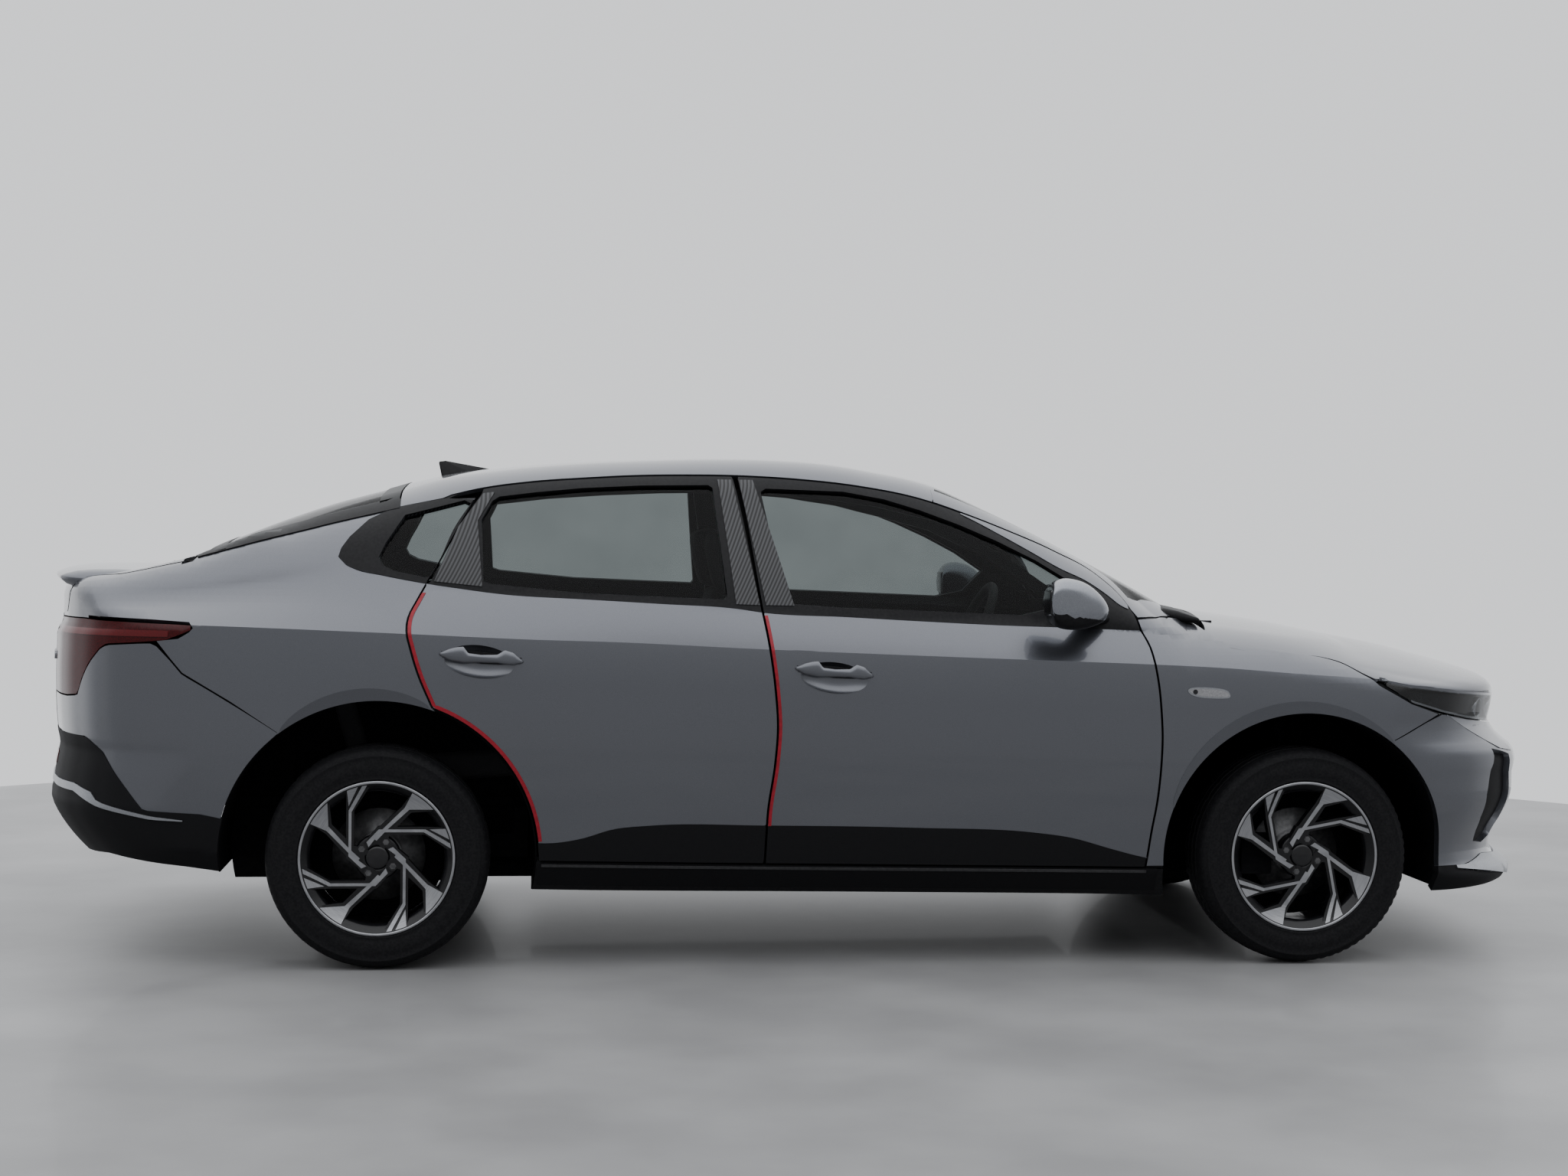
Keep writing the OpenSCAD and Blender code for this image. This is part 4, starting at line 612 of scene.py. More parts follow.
def material(name, low, high, rough, metal=0.0, scale=40.0, coat=0.0, bump=0.0,
             stretch=(1, 1, 1), kind="noise", detail=3.0, spec=0.5, clear=False):
    """A procedural surface whose colour wanders between two tones."""
    m = bpy.data.materials.new(name)
    m.use_nodes = True
    tree = m.node_tree
    tree.nodes.clear()
    out = add(tree, "OutputMaterial")
    surface = add(tree, "BsdfPrincipled", Roughness=rough, Metallic=metal, Coat_Weight=coat,
                  Coat_Roughness=0.03, Specular_IOR_Level=spec)
    where = add(tree, "TexCoord")
    size = add(tree, "Mapping", Scale=stretch)
    ramp = add(tree, "ValToRGB")
    for stop, at, tone in zip(ramp.color_ramp.elements, (0.35, 0.65), (low, high)):
        stop.position = at
        stop.color = (*tone, 1)
    if kind == "noise":
        pattern = add(tree, "TexNoise", Detail=detail, Scale=scale)
    elif kind == "weave":
        pattern = add(tree, "TexWave", Scale=scale)
        pattern.bands_direction = "DIAGONAL"
    else:
        pattern = add(tree, "TexVoronoi", Scale=scale)
    value = pattern.outputs["Distance" if kind == "cells" else "Fac"]
    link = tree.links.new
    link(where.outputs["Object"], size.inputs["Vector"])
    link(size.outputs["Vector"], pattern.inputs["Vector"])
    link(value, ramp.inputs["Fac"])
    link(ramp.outputs["Color"], surface.inputs["Base Color"])
    if clear:
        surface.inputs["Transmission Weight"].default_value = 1
        surface.inputs["IOR"].default_value = 1.02
    if bump:
        relief = add(tree, "Bump", Strength=bump, Distance=0.002)
        link(value, relief.inputs["Height"])
        link(relief.outputs["Normal"], surface.inputs["Normal"])
    link(surface.outputs["BSDF"], out.inputs["Surface"])
    return m


PAINT = material("paint_graphite", (0.088, 0.092, 0.106), (0.122, 0.128, 0.146), 0.3, 0.85, 1400, 1.0)
SATIN = material("satin_black", (0.005, 0.005, 0.006), (0.009, 0.009, 0.01), 0.45, 0, 120, spec=0.16)
GLOSS = material("gloss_black", (0.004, 0.004, 0.005), (0.007, 0.007, 0.008), 0.14, 0, 60, 0.3, spec=0.3)
PLASTIC = material("black_plastic", (0.005, 0.005, 0.006), (0.009, 0.009, 0.01), 0.6, 0, 700, 0, 0.1,
                   spec=0.12)
CARBON = material("carbon_weave", (0.006, 0.006, 0.007), (0.05, 0.051, 0.055), 0.36, 0.2, 55, 0.2, 0.2,
                  stretch=(1, 1, -1), kind="weave", spec=0.3)
RED = material("red_strip", (0.22, 0.003, 0.012), (0.3, 0.005, 0.018), 0.45, 0, 90, 0.1, spec=0.3)
CHROME = material("chrome", (0.5, 0.51, 0.53), (0.6, 0.61, 0.63), 0.1, 1, 30)
SILVER = material("silver_trim", (0.26, 0.27, 0.29), (0.34, 0.35, 0.37), 0.28, 0.9, 400)
CAP = material("mirror_cap", (0.2, 0.21, 0.235), (0.25, 0.26, 0.285), 0.2, 0.95, 500, 0.6)
BRIGHT_LINE = material("bright_line", (0.05, 0.05, 0.053), (0.07, 0.07, 0.073), 0.4, 0.6, 90)
GLASS = material("tinted_glass", (0.13, 0.15, 0.149), (0.15, 0.172, 0.17), 0, 0, 6, 0.2, clear=True)
DARK_GLASS = material("dark_glass", (0.004, 0.005, 0.006), (0.006, 0.007, 0.008), 0.35, 0, 6, 0, spec=0.1)
LAMP_RED = material("lamp_red", (0.03, 0.0007, 0.0015), (0.052, 0.0012, 0.0024), 0.12, 0, 260, 0.15,
                    kind="cells", spec=0.15)
LAMP_LIT = material("lamp_red_bar", (0.075, 0.0014, 0.003), (0.1, 0.002, 0.004), 0.15, 0, 300, 0.2,
                    spec=0.3)
LAMP_CLEAR = material("lamp_clear", (0.2, 0.21, 0.22), (0.24, 0.25, 0.26), 0, 0, 20, 0.8, clear=True)
LAMP_DARK = material("lamp_inside", (0.012, 0.012, 0.014), (0.03, 0.03, 0.033), 0.25, 0.5, 50)
MARKER = material("marker_lens", (0.2, 0.2, 0.21), (0.3, 0.3, 0.31), 0.2, 0.2, 220, 0.6)
RUBBER = material("tyre_rubber", (0.005, 0.005, 0.006), (0.01, 0.01, 0.011), 0.65, 0, 160, 0, 0.1,
                  spec=0.14)
ALLOY = material("machined_alloy", (0.3, 0.305, 0.32), (0.38, 0.385, 0.4), 0.32, 1, 30,
                 stretch=(1, 40, 1))
ALLOY_BLACK = material("alloy_black", (0.003, 0.003, 0.004), (0.006, 0.006, 0.007), 0.3, 0, 200, 0.2,
                       spec=0.25)
STEEL = material("turned_steel", (0.09, 0.09, 0.093), (0.15, 0.15, 0.153), 0.45, 1, 60, stretch=(1, 30, 1))
CAST = material("cast_metal", (0.012, 0.012, 0.013), (0.025, 0.025, 0.027), 0.6, 0.3, 150, 0, 0.3, spec=0.2)
CABIN = material("cabin_plastic", (0.012, 0.012, 0.013), (0.02, 0.02, 0.021), 0.65, 0, 500, 0, 0.15,
                 spec=0.25)
FABRIC = material("seat_fabric", (0.02, 0.02, 0.022), (0.04, 0.04, 0.043), 0.85, 0, 700, 0, 0.3, spec=0.2)
UNDER = material("underbody", (0.003, 0.003, 0.004), (0.006, 0.006, 0.007), 0.8, 0, 60, 0, 0.2, spec=0.08)
FLOOR = material("pale_floor", (0.2, 0.2, 0.203), (0.27, 0.27, 0.273), 0.4, 0, 1.6, 0.05, detail=7)

CAD_LOOK = {
    "paint": PAINT, "black_plastic": PLASTIC, "gloss_black": GLOSS, "lamp_clear": LAMP_DARK,
    "lamp_red": LAMP_RED, "glass": GLASS, "underbody": UNDER, "cabin_plastic": CABIN,
    "seat_fabric": FABRIC, "cast_alloy": CAST, "steel": STEEL, "mirror_cap": SILVER, "tyre": RUBBER,
    "alloy": ALLOY_BLACK,
}


# Lines where the panels meet

DOOR_FRONT = Line([(280, 866), (315, 871), (392, 881), (471, 894), (583, 904), (672, 906), (739, 902),
                   (827, 893), (875, 885), (929, 875), (972, 857), (1005, 847)])
DOOR_SPLIT = Line([(280, -245), (382, -241), (449, -238), (581, -220), (691, -213), (799, -221),
                   (928, -239), (1014, -254), (1123, -272), (1301, -300), (1401, -319), (1420, -323)])
DOOR_REAR = Line([(700, -1170), (735, -1185), (837, -1229), (911, -1252), (953, -1262), (995, -1258),
                  (1038, -1237), (1080, -1215), (1147, -1176), (1247, -1133), (1357, -1060)])
DOOR_TOP = Line([(-1150, 1340), (-1082, 1357), (-905, 1384), (-771, 1395), (-613, 1405), (-455, 1409),
                 (-318, 1409), (-136, 1401), (46, 1383), (227, 1349), (362, 1305), (496, 1254),
                 (628, 1197), (759, 1122), (815, 1062), (847, 1005)])
DOOR_BOTTOM = Line([(-1200, 311), (-900, 306), (870, 284)])
HOOD_SIDE = Line([(1052, 991), (1074, 965), (1106, 941), (1150, 928), (1239, 916), (1329, 906),
                  (1408, 895), (1463, 878), (1517, 846), (1552, 828), (1700, 806), (1850, 788),
                  (2018, 772), (2120, 770)])
SCREEN_SIDE = Line([(-1960, 1128), (-1876, 1152), (-1779, 1179), (-1671, 1209), (-1562, 1237),
                    (-1475, 1260), (-1380, 1283), (-1301, 1302), (-1213, 1321), (-1150, 1334)])
DECK_SIDE = Line([(-2330, 1066), (-2206, 1081), (-2121, 1090), (-2035, 1106), (-1950, 1125),
                  (-1876, 1144)])
BELT = Line([(-1463, 1150), (-1442, 1138), (-1413, 1125), (-1337, 1109), (-1207, 1086), (-1120, 1074),
             (-989, 1058), (-771, 1047), (-552, 1036), (-331, 1024), (-243, 1012), (-21, 1003),
             (202, 992), (427, 982), (652, 976), (857, 971)])
LOWER_TRIM = Line([(-895, 359), (-852, 359), (-766, 372), (-680, 398), (-571, 409), (-243, 409),
                   (199, 402), (535, 388), (649, 372), (763, 340), (843, 319), (875, 312)])
WINDOW_FRONT = [(-246, 1362), (-231, 1372), (-1, 1366), (120, 1345), (225, 1314), (340, 1272),
                (448, 1226), (560, 1170), (665, 1104), (600, 1032), (508, 1012), (204, 1022),
                (-20, 1029), (-178, 1040), (-190, 1048)]
WINDOW_REAR = [(-1060, 1270), (-1030, 1325), (-1010, 1338), (-905, 1352), (-771, 1366), (-600, 1376),
               (-400, 1380), (-388, 1372), (-355, 1060), (-362, 1050), (-551, 1056), (-771, 1064),
               (-1030, 1088), (-1052, 1096)]
WINDOW_QUARTER = [(-1126, 1250), (-1090, 1316), (-1110, 1325), (-1180, 1306), (-1279, 1280),
                  (-1330, 1200), (-1348, 1160), (-1336, 1137), (-1305, 1122), (-1215, 1104),
                  (-1200, 1108)]
SHOULDER = Z_LINES[3]
G = 3.2


def split_gap(z):
    return G + 4 * min(max((z - 1000) / 400, 0), 1)


def arc(x, r, a0, a1, n=40):
    """Points on a circle about an axle, seen from the side."""
    return [(x + r * math.cos(math.radians(a)), AXLE_Z + r * math.sin(math.radians(a)))
            for a in np.linspace(a0, a1, n)]


def grown(loop, d):
    """An outline moved outward by d."""
    p = dense(loop, 25)
    t = np.roll(p, -1, 0) - np.roll(p, 1, 0)
    t /= np.linalg.norm(t, axis=1, keepdims=True)
    area = np.sum(p[:, 0] * np.roll(p[:, 1], -1) - np.roll(p[:, 0], -1) * p[:, 1])
    n = np.stack([t[:, 1], -t[:, 0]], 1) * (1 if area > 0 else -1)
    return p + n * d


def rounded(loop, times=3):
    """An outline with its corners cut to curves."""
    p = np.array(loop, float)
    for _ in range(times):
        q = np.roll(p, -1, 0)
        p = np.stack([p * 0.75 + q * 0.25, p * 0.25 + q * 0.75], 1).reshape(-1, 2)
    return p


# Doors

def split_edge(z0, z1, n, side):
    return [(float(DOOR_SPLIT(z)) + side * split_gap(z), z) for z in np.linspace(z0, z1, n)]


front_paint = (along(LOWER_TRIM, -238, 872, 40) + up(DOOR_FRONT, 316, 968, 30, -G)
               + along(BELT, 852, -248, 40) + split_edge(1010, 412, 24, 1))
front_frame = (along(BELT, -250, 852, 40) + up(DOOR_FRONT, 974, 1000, 3, -G)
               + along(DOOR_TOP, 840, -310, 50, -G) + split_edge(1398, 1016, 20, 1))
front_low = (along(DOOR_BOTTOM, -241, 863, 12, G) + up(DOOR_FRONT, 290, 312, 3, -G)
             + along(LOWER_TRIM, 868, -237, 40) + split_edge(405, 312, 5, 1))
rear_edge = up(DOOR_REAR, 1080, 748, 20, G)
rear_arc = arc(-AXLE, ARCH_REAR + 8, 70, 4.5, 40)
rear_paint = (along(BELT, -1212, -257, 40) + split_edge(1010, 412, 24, -1)
              + along(LOWER_TRIM, -246, -888, 30) + rear_arc[::-1][1:] + rear_edge[::-1])
rear_frame = (along(BELT, -257, -1208, 40) + up(DOOR_REAR, 1092, 1345, 14, G + 4)
              + along(DOOR_TOP, -1056, -330, 30, -G) + split_edge(1398, 1018, 20, -1))
rear_low = (along(DOOR_BOTTOM, -886, -249, 10, G) + split_edge(312, 405, 5, -1)
            + along(LOWER_TRIM, -246, -890, 30))

GRIPS = {"front": ((-190, 770), (85, 905)), "rear": ((-1200, 805), (-910, 940))}
STEP = 22
for name, body, paint, frame_loop, low_loop, window in (
        ("front", "door_front_right", front_paint, front_frame, front_low, WINDOW_FRONT),
        ("rear", "door_rear_right", rear_paint, rear_frame, rear_low, WINDOW_REAR)):
    pair(patch("door_" + name + "_paint_right", on_side, [paint], STEP, PAINT, 3, crease=SHOULDER,
               calm=GRIPS[name]), body)
    pair(patch("door_" + name + "_frame_right", on_side, [frame_loop, dense(window, 12)], STEP, SATIN, 3.5),
         body)
    pair(patch("door_" + name + "_low_right", on_side, [low_loop], STEP, PLASTIC, 4), body)
    glass = patch("door_" + name + "_glass_right", on_side, [grown(window, 6)], 30, GLASS, -6, 4)
    twin = pair(glass, body)
    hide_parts("glass_" + name + "_right")
    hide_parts("glass_" + name + "_left")

BAND_LOW = Line([(330, 1312), (372, 1292), (458, 1246), (543, 1198), (628, 1148), (715, 1106), (765, 1071),
                 (803, 1040), (828, 1028)])
rail = along(BAND_LOW, 350, 826, 40) + along(DOOR_TOP, 826, 350, 40, -G - 0.5)
pair(patch("door_rail_right", on_side, [rail], 12, PAINT, 5, 6), "door_front_right")

COVERS = {
    "door_rear_right": [[(-1056, 1346), (-1024, 1350), (-1071, 1267), (-1054, 1080), (-1190, 1093),
                         (-1125, 1250)],
                        [(-372, 1396), (-330, 1396), (-262, 1034), (-330, 1036)]],
    "door_front_right": [[(-310, 1396), (-268, 1396), (-162, 1033), (-244, 1034)]],
}
for body, loops in COVERS.items():
    for k, loop in enumerate(loops):
        pair(patch("cover_%d_%s" % (k, body), on_side, [loop], 20, CARBON, 5.5, 3), body)

strip = split_edge(1004, 408, 30, 1)
strip = strip + [(x + 9, z) for x, z in reversed(strip)]
pair(patch("edge_strip_front_right", on_side, [strip], 8, RED, 5.5, 4), "door_front_right")
line = up(DOOR_REAR, 1060, 748, 24, G) + arc(-AXLE, ARCH_REAR + 8, 69, 6, 40)
inner = up(DOOR_REAR, 1060, 748, 24, G + 10) + arc(-AXLE, ARCH_REAR + 18, 69, 6, 40)
pair(patch("edge_strip_rear_right", on_side, [line + inner[::-1]], 8, RED, 5.5, 4), "door_rear_right")


HANDLE_TOP = ([0, 0.1, 0.2, 0.28, 0.34, 0.5, 0.7, 0.79, 0.9, 1], [7, 18, 25, 28, 12, 12, 15, 29, 24, 7])
HANDLE_LOW = ([0, 0.1, 0.28, 0.5, 0.7, 0.79, 0.9, 1], [-6, -15, -18, -13, -10, -12, -12, -5])


def handle(name, x0, x1, z0, body):
    """A bowed door handle with two broad feet, which stands off the door."""
    n, m = 60, 24
    rings = []
    for f in np.linspace(-0.03, 1.03, n):
        c = min(max(f, 0), 1)
        s = math.sin(math.pi * c) ** 0.6
        end = math.sqrt(max(1 - (max(-f, f - 1, 0) / 0.03) ** 2, 0.0015))
        top = float(np.interp(c, *HANDLE_TOP)) * end
        low = float(np.interp(c, *HANDLE_LOW)) * end
        x = x0 + (x1 - x0) * f
        z = z0 - 20 * f
        y = float(side_y(x, z)) + 2 + 19 * s
        for t in np.linspace(0, 2 * math.pi, m, endpoint=False):
            high = top if math.sin(t) > 0 else -low
            rings.append((x, -y - 10.5 * end * math.cos(t), z + high * math.sin(t)))
    obj = new_object(name, place(rings), grid_faces(n, m, False, True), PAINT)
    fix_normals(obj)
    pair(obj, body)


def dish(name, x, z, a, b, lean, body):
    """A shallow finger recess, shaded as a bowl by its normals."""
    rim = [(x + a * math.cos(t), z + b * math.sin(t) - lean * math.cos(t))
           for t in np.linspace(0, 2 * math.pi, 49)[:-1]]
    def bowl(at, n):
        u = (at[:, 0] - x) / a
        w = (at[:, 1] - z + lean * u) / b
        return n - np.stack([u * 0.5, u * 0, w * 0.95], -1) * np.sqrt(u * u + w * w)[:, None]
    calm = ((x - 200, z - 100), (x + 200, z + 100))
    pair(patch(name, on_side, [rim], 12, PAINT, 6, 3, bend=bowl, calm=calm), body)


dish("handle_cup_front_right", -52, 832, 96, 44, 8, "door_front_right")
dish("handle_cup_rear_right", -1058, 872, 98, 46, 9, "door_rear_right")
handle("handle_front_right", -160, 55, 858, "door_front_right")
handle("handle_rear_right", -1165, -940, 893, "door_rear_right")


# Rear side panel, roof and pillars

# A satin black strip set 12 mm in, across the rear door's rear shut line: painted shade in the gap, where
# the real jamb is body colour.
jamb = up(DOOR_REAR, 1060, 760, 24, -30) + up(DOOR_REAR, 760, 1060, 24, 2)
pair(patch("door_jamb_right", on_side, [jamb], 14, SATIN, -12, 0), "body")

quarter = ([(-1616, 672), (-1746, 758), (-1877, 836), (-1912, 877), (-1949, 923), (-1890, 930),
            (-1860, 948), (-1850, 960), (-1862, 974), (-1974, 981), (-2122, 988), (-2190, 991)]
           + along(DECK_SIDE, -2200, -1880, 14, -G) + along(SCREEN_SIDE, -1870, -1160, 30, -1)
           + up(DOOR_REAR, 1330, 742, 34, -G) + arc(-AXLE, ARCH_REAR, 69, 128, 40))
hole = dense(WINDOW_QUARTER, 12)
pair(patch("quarter_paint_right", on_side, [quarter, hole], STEP, PAINT, 3, crease=SHOULDER), "body")
surround = ([(-1463, 1160), (-1456, 1184), (-1434, 1216), (-1383, 1266), (-1317, 1299), (-1228, 1319),
             (-1160, 1330)] + up(DOOR_REAR, 1328, 1092, 14, -G)
            + along(BELT, -1212, -1440, 16))
pair(patch("quarter_trim_right", on_side, [surround, hole], 18, SATIN, 5), "body")
glass = patch("quarter_glass_right", on_side, [grown(WINDOW_QUARTER, 6)], 25, GLASS, -6, 4)
pair(glass, "body")
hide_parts("quarter_windows")


def edge_y(x):
    """Half width of the roof where it meets the doors and the rear screen's sides."""
    x = np.asarray(x, float)
    z = np.where(x < -1150, SCREEN_SIDE(x), DOOR_TOP(np.clip(x, -1150, 840))) + G
    return side_y(x, z)


def screen_half(x):
    v = np.minimum(x, 960)
    return side_y(v, DOOR_TOP(np.minimum(v, 840)) + 12) - 52


xs = np.linspace(-1298, 268, 64)
right = [(x, -float(y)) for x, y in zip(xs, edge_y(xs))]
front = [(334 - 62.5 * (y / 600) ** 2, y) for y in np.linspace(right[-1][1], -right[-1][1], 40)[1:-1]]
back = [(-1286 - 10 * (y / 600) ** 2, y) for y in np.linspace(-right[0][1], right[0][1], 40)[1:-1]]
roof = right + front + far_side(right) + back
one(patch("roof_skin", on_top, [roof], STEP * 1.2, PAINT, 2.5), "body")

outer = [(x, -float(side_y(x, float(DOOR_TOP(min(x, 838))) + G)) + 0.5)
         for x in np.linspace(SCREEN_HEAD, 836, 34)]
outer += [(x, -float(side_y(x, 1007))) for x in (852, 880, 910, 940, 970, SCREEN_FOOT)]
inner = [(x, -float(screen_half(x))) for x in np.linspace(SCREEN_FOOT, SCREEN_HEAD, 40)]
pair(patch("pillar_front_right", on_top, [outer + inner], 16, PAINT, 3, 10), "body")

side = [(x, -float(screen_half(max(x, SCREEN_HEAD))) + 1)
        for x in np.linspace(250, SCREEN_FOOT, 40) if x > 270]
low = [(1098 - 75 * (y / 640) ** 2, y) for y in np.linspace(-640, 640, 40)]
top = [(333 - 62.5 * (y / 600) ** 2, y) for y in np.linspace(590, -590, 40)]
screen = side + low + far_side(side) + top
glass = one(patch("windscreen_glass", on_top, [screen], 45, GLASS, -2, 4), "body")
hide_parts("windscreen")

xs = np.linspace(-1876, -1302, 40)
side = [(x, -float(side_y(x, float(SCREEN_SIDE(x)) + 2))) for x in xs]
top = [(-1290 - 10 * (y / 600) ** 2, y) for y in np.linspace(side[-1][1], -side[-1][1], 40)[1:-1]]
screen = side + top + far_side(side)
glass = one(patch("rear_screen_glass", on_top, [screen], 18, GLASS, 2, 4), "body")
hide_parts("rear_window")
inside_line = grown(screen, -58)
one(patch("rear_screen_band", on_top, [screen, inside_line], 18, DARK_GLASS, 4, 2), "body")

trim = (along(SCREEN_SIDE, -1868, -1296, 40, -3)
        + [(x, float(SCREEN_SIDE(x)) + 24 * min(1, (x + 1878) / 120))
           for x in np.linspace(-1296, -1868, 40)])
pair(patch("screen_trim_right", on_side, [trim], 14, SATIN, 6, 8), "body")

# Front wing

wing = (up(DOOR_FRONT, 290, 1000, 36, G) + [(868, 1001), (930, 1002), (1000, 998), (1044, 991)]
        + along(HOOD_SIDE, 1056, 1540, 40, -G)
        + [(1556, 816), (1655, 763), (1750, 732), (1602, 659)] + arc(AXLE, ARCH_FRONT, 52, 183.5, 60))
pair(patch("wing_paint_right", on_side, [wing], STEP, PAINT, 3, crease=SHOULDER), "body")
marker = rounded([(972, 812), (990, 781), (1098, 777), (1108, 786), (1092, 808)])
pair(patch("side_marker_right", on_side, [marker], 12, SILVER, 5, 4), "body")
lens = grown(marker, -4.5)
pair(patch("side_marker_lens_right", on_side, [lens], 10, MARKER, 6.5, 3), "body")
spot = circle(1001, 797, 7, 20)
pair(patch("side_marker_bulb_right", on_side, [spot], 5, LAMP_DARK, 7.2, 2), "body")


def arch_band(name, x, r, wide, a0, a1):
    """A flange round a wheel arch, which faces a little towards the wheel."""
    def turned(at, n):
        d = at - np.array([x, AXLE_Z])
        d /= np.linalg.norm(d, axis=1, keepdims=True)
        return n - 0.5 * np.stack([d[:, 0], d[:, 0] * 0, d[:, 1]], -1)
    outer = []
    for t in np.linspace(0, 1, 60):
        a = math.radians(a0 + (a1 - a0) * t)
        q = r + 2 + wide * math.sin(math.pi * t) ** 0.6
        outer.append((x + q * math.cos(a), AXLE_Z + q * math.sin(a)))
    loop = outer + arc(x, r - 0.5, a1, a0, 60)
    pair(patch(name, on_side, [loop], 14, PAINT, 4.2, 18, bend=turned), "body")


arch_band("arch_lip_front_right", AXLE, ARCH_FRONT, 34, 52, 160)
arch_band("arch_lip_rear_right", -AXLE, ARCH_REAR, 34, 71, 127)

# Sills

low = along(DOOR_BOTTOM, -892, 905, 30, -G)
base = along(Z_LINES[0], 905, -892, 30, 2)
pair(patch("sill_cover_right", on_side, [low + base], 30, PLASTIC, 3, 10), "body")
low = along(DOOR_BOTTOM, -880, 870, 40, -6)
base = along(DOOR_BOTTOM, 870, -880, 40, -13)
pair(patch("sill_line_right", on_side, [low + base], 20, BRIGHT_LINE, 6, 4), "body")

# Hood, lid, spoiler

LAMP_GAP = 9
HOOD_REAR = 1070
LAMP_HIGH = ([0, 31, 40, 50, 60, 70, 76], [766, 766, 767, 777, 790, 808, 826])
LAMP_LOW = ([0, 31, 40, 45.7, 55.6, 62.3, 69.7, 76], [690, 690, 692, 698, 715, 734, 765, 828])
BUMPER_TOP = ([0, 31, 40, 45.7, 55.6, 62.5, 66, 73.7, 76], [689, 689, 691, 697, 714, 733, 712, 656, 640])
BUMPER_LOW = ([0, 30, 36.8, 49.4, 55.9, 63, 76], [292, 287, 284, 304, 280, 282, 282])
VALANCE_LOW = ([0, 40, 51, 60, 76], [216, 222, 214, 208, 200])


def hood_points(f, g):
    """Points of the hood over its width f (-1 to 1) and length g (0 to 1)."""
    def nose(f):
        a = 75.5 * f
        r = fan_r(AXLE, a, table(LAMP_HIGH, a) + LAMP_GAP)
        return np.stack([AXLE + r * np.cos(np.radians(a)), r * np.sin(np.radians(a))], -1)

    def side(g, s):
        x = HOOD_REAR + (nose(np.array([1.0]))[0, 0] - HOOD_REAR) * g
        return np.stack([x, s * (side_y(x, HOOD_SIDE(x) + G) - G / 2)], -1)

    f, g = np.broadcast_arrays(f, g)
    u = ((f + 1) / 2)[..., None]
    v = g[..., None]
    rear = np.stack([1150 - 80 * f * f, 735 * f], -1)
    zero = np.zeros_like(g)
    ends = np.array([-1.0, 1.0])
    n = nose(ends)
    p = (rear * (1 - v) + nose(f) * v + side(g, -1) * (1 - u) + side(g, 1) * u
         - (side(zero, -1) * (1 - u) + side(zero, 1) * u) * (1 - v) - (n[0] * (1 - u) + n[1] * u) * v)
    x = p[..., 0]
    y = p[..., 1]
    floor = table(LAMP_HIGH, np.degrees(np.arctan2(y, x - AXLE))) + LAMP_GAP
    return np.stack([x, y, np.maximum(skin_z(x, y), floor)], -1)


def turned_in(name, grid, material, depth, lift):
    """A sheet from a grid of points with its edges turned down."""
    n, m = grid.shape[:2]
    du = np.gradient(grid, axis=0)
    dv = np.gradient(grid, axis=1)
    nor = np.cross(du, dv)
    nor /= np.maximum(np.linalg.norm(nor, axis=-1, keepdims=True), 1e-9)
    if np.mean(nor[..., 2]) < 0:
        nor = -nor
    top = grid + nor * lift
    ring = ([(i, 0) for i in range(n)] + [(n - 1, j) for j in range(1, m)]
            + [(i, m - 1) for i in range(n - 2, -1, -1)] + [(0, j) for j in range(m - 2, 0, -1)])
    edge = np.array([top[i, j] for i, j in ring])
    low = np.array([top[i, j] - nor[i, j] * depth for i, j in ring])
    k = n * m
    r = len(ring)
    faces = grid_faces(n, m)
    for a in range(r):
        b = (a + 1) % r
        faces.append((k + a, k + b, k + r + b, k + r + a))
    obj = new_object(name, place(np.concatenate([top.reshape(-1, 3), edge, low])), faces, material)
    fix_normals(obj)
    mesh = obj.data
    if mesh.polygons[0].normal.z < 0:
        mesh.flip_normals()
    return obj


count = ((65, 57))
f = np.sin(np.linspace(-1, 1, count[0]) * math.pi / 2)[None, :]
g = np.sin(np.linspace(0, 1, count[1]) * math.pi / 2)[:, None]
one(turned_in("hood_skin", hood_points(f, g), PAINT, 10, 2.5), "hood")


def lid_edge(x):
    return np.minimum(side_y(x, DECK_SIDE(x)), 640 - np.maximum(0, -2080 - x) * 0.4)


xs = np.linspace(-2286, -1912, 24)
right = [(x, -float(lid_edge(x)) + G) for x in xs]
lid = right + [(-1909, right[-1][1]), (-1909, -right[-1][1])] + far_side(right)
one(patch("lid_top_skin", on_top, [lid], STEP, PAINT, 2.5), "boot_lid")
xs = np.linspace(-2222, -1912, 30)
gutter = [(x, -float(lid_edge(x)) - G) for x in xs]
gutter += [(x, -float(max(side_y(x, DECK_SIDE(x) - 2 * G), lid_edge(x) + 2 * G))) for x in reversed(xs)]
pair(patch("lid_gutter_right", on_top, [gutter], 14, PAINT, 2, 8), "body")
LID_BACK = [(-396, 642), (-398, 752), (-436, 763), (-438, 985), (-556, 994), (-586, 1040), (-590, 1078),
            (590, 1078), (586, 1040), (556, 994), (438, 985), (436, 763), (398, 752), (396, 642)]
PLATE = [(-280, 690), (-280, 830), (280, 830), (280, 690)]
one(patch("lid_back_skin", on_tail, [LID_BACK], STEP, PAINT, 3), "boot_lid")
one(patch("plate_recess", on_tail, [PLATE], 40, PLASTIC, 4, 6), "boot_lid")
blank = [(-255, 705), (-255, 815), (255, 815), (255, 705)]
one(patch("plate_blank", on_tail, [blank], 40, SILVER, 6.5, 3), "boot_lid")
bar = [(-430, 850), (-430, 872), (430, 872), (430, 850)]
one(patch("lid_bar", on_tail, [bar], 30, SILVER, 8, 8), "boot_lid")

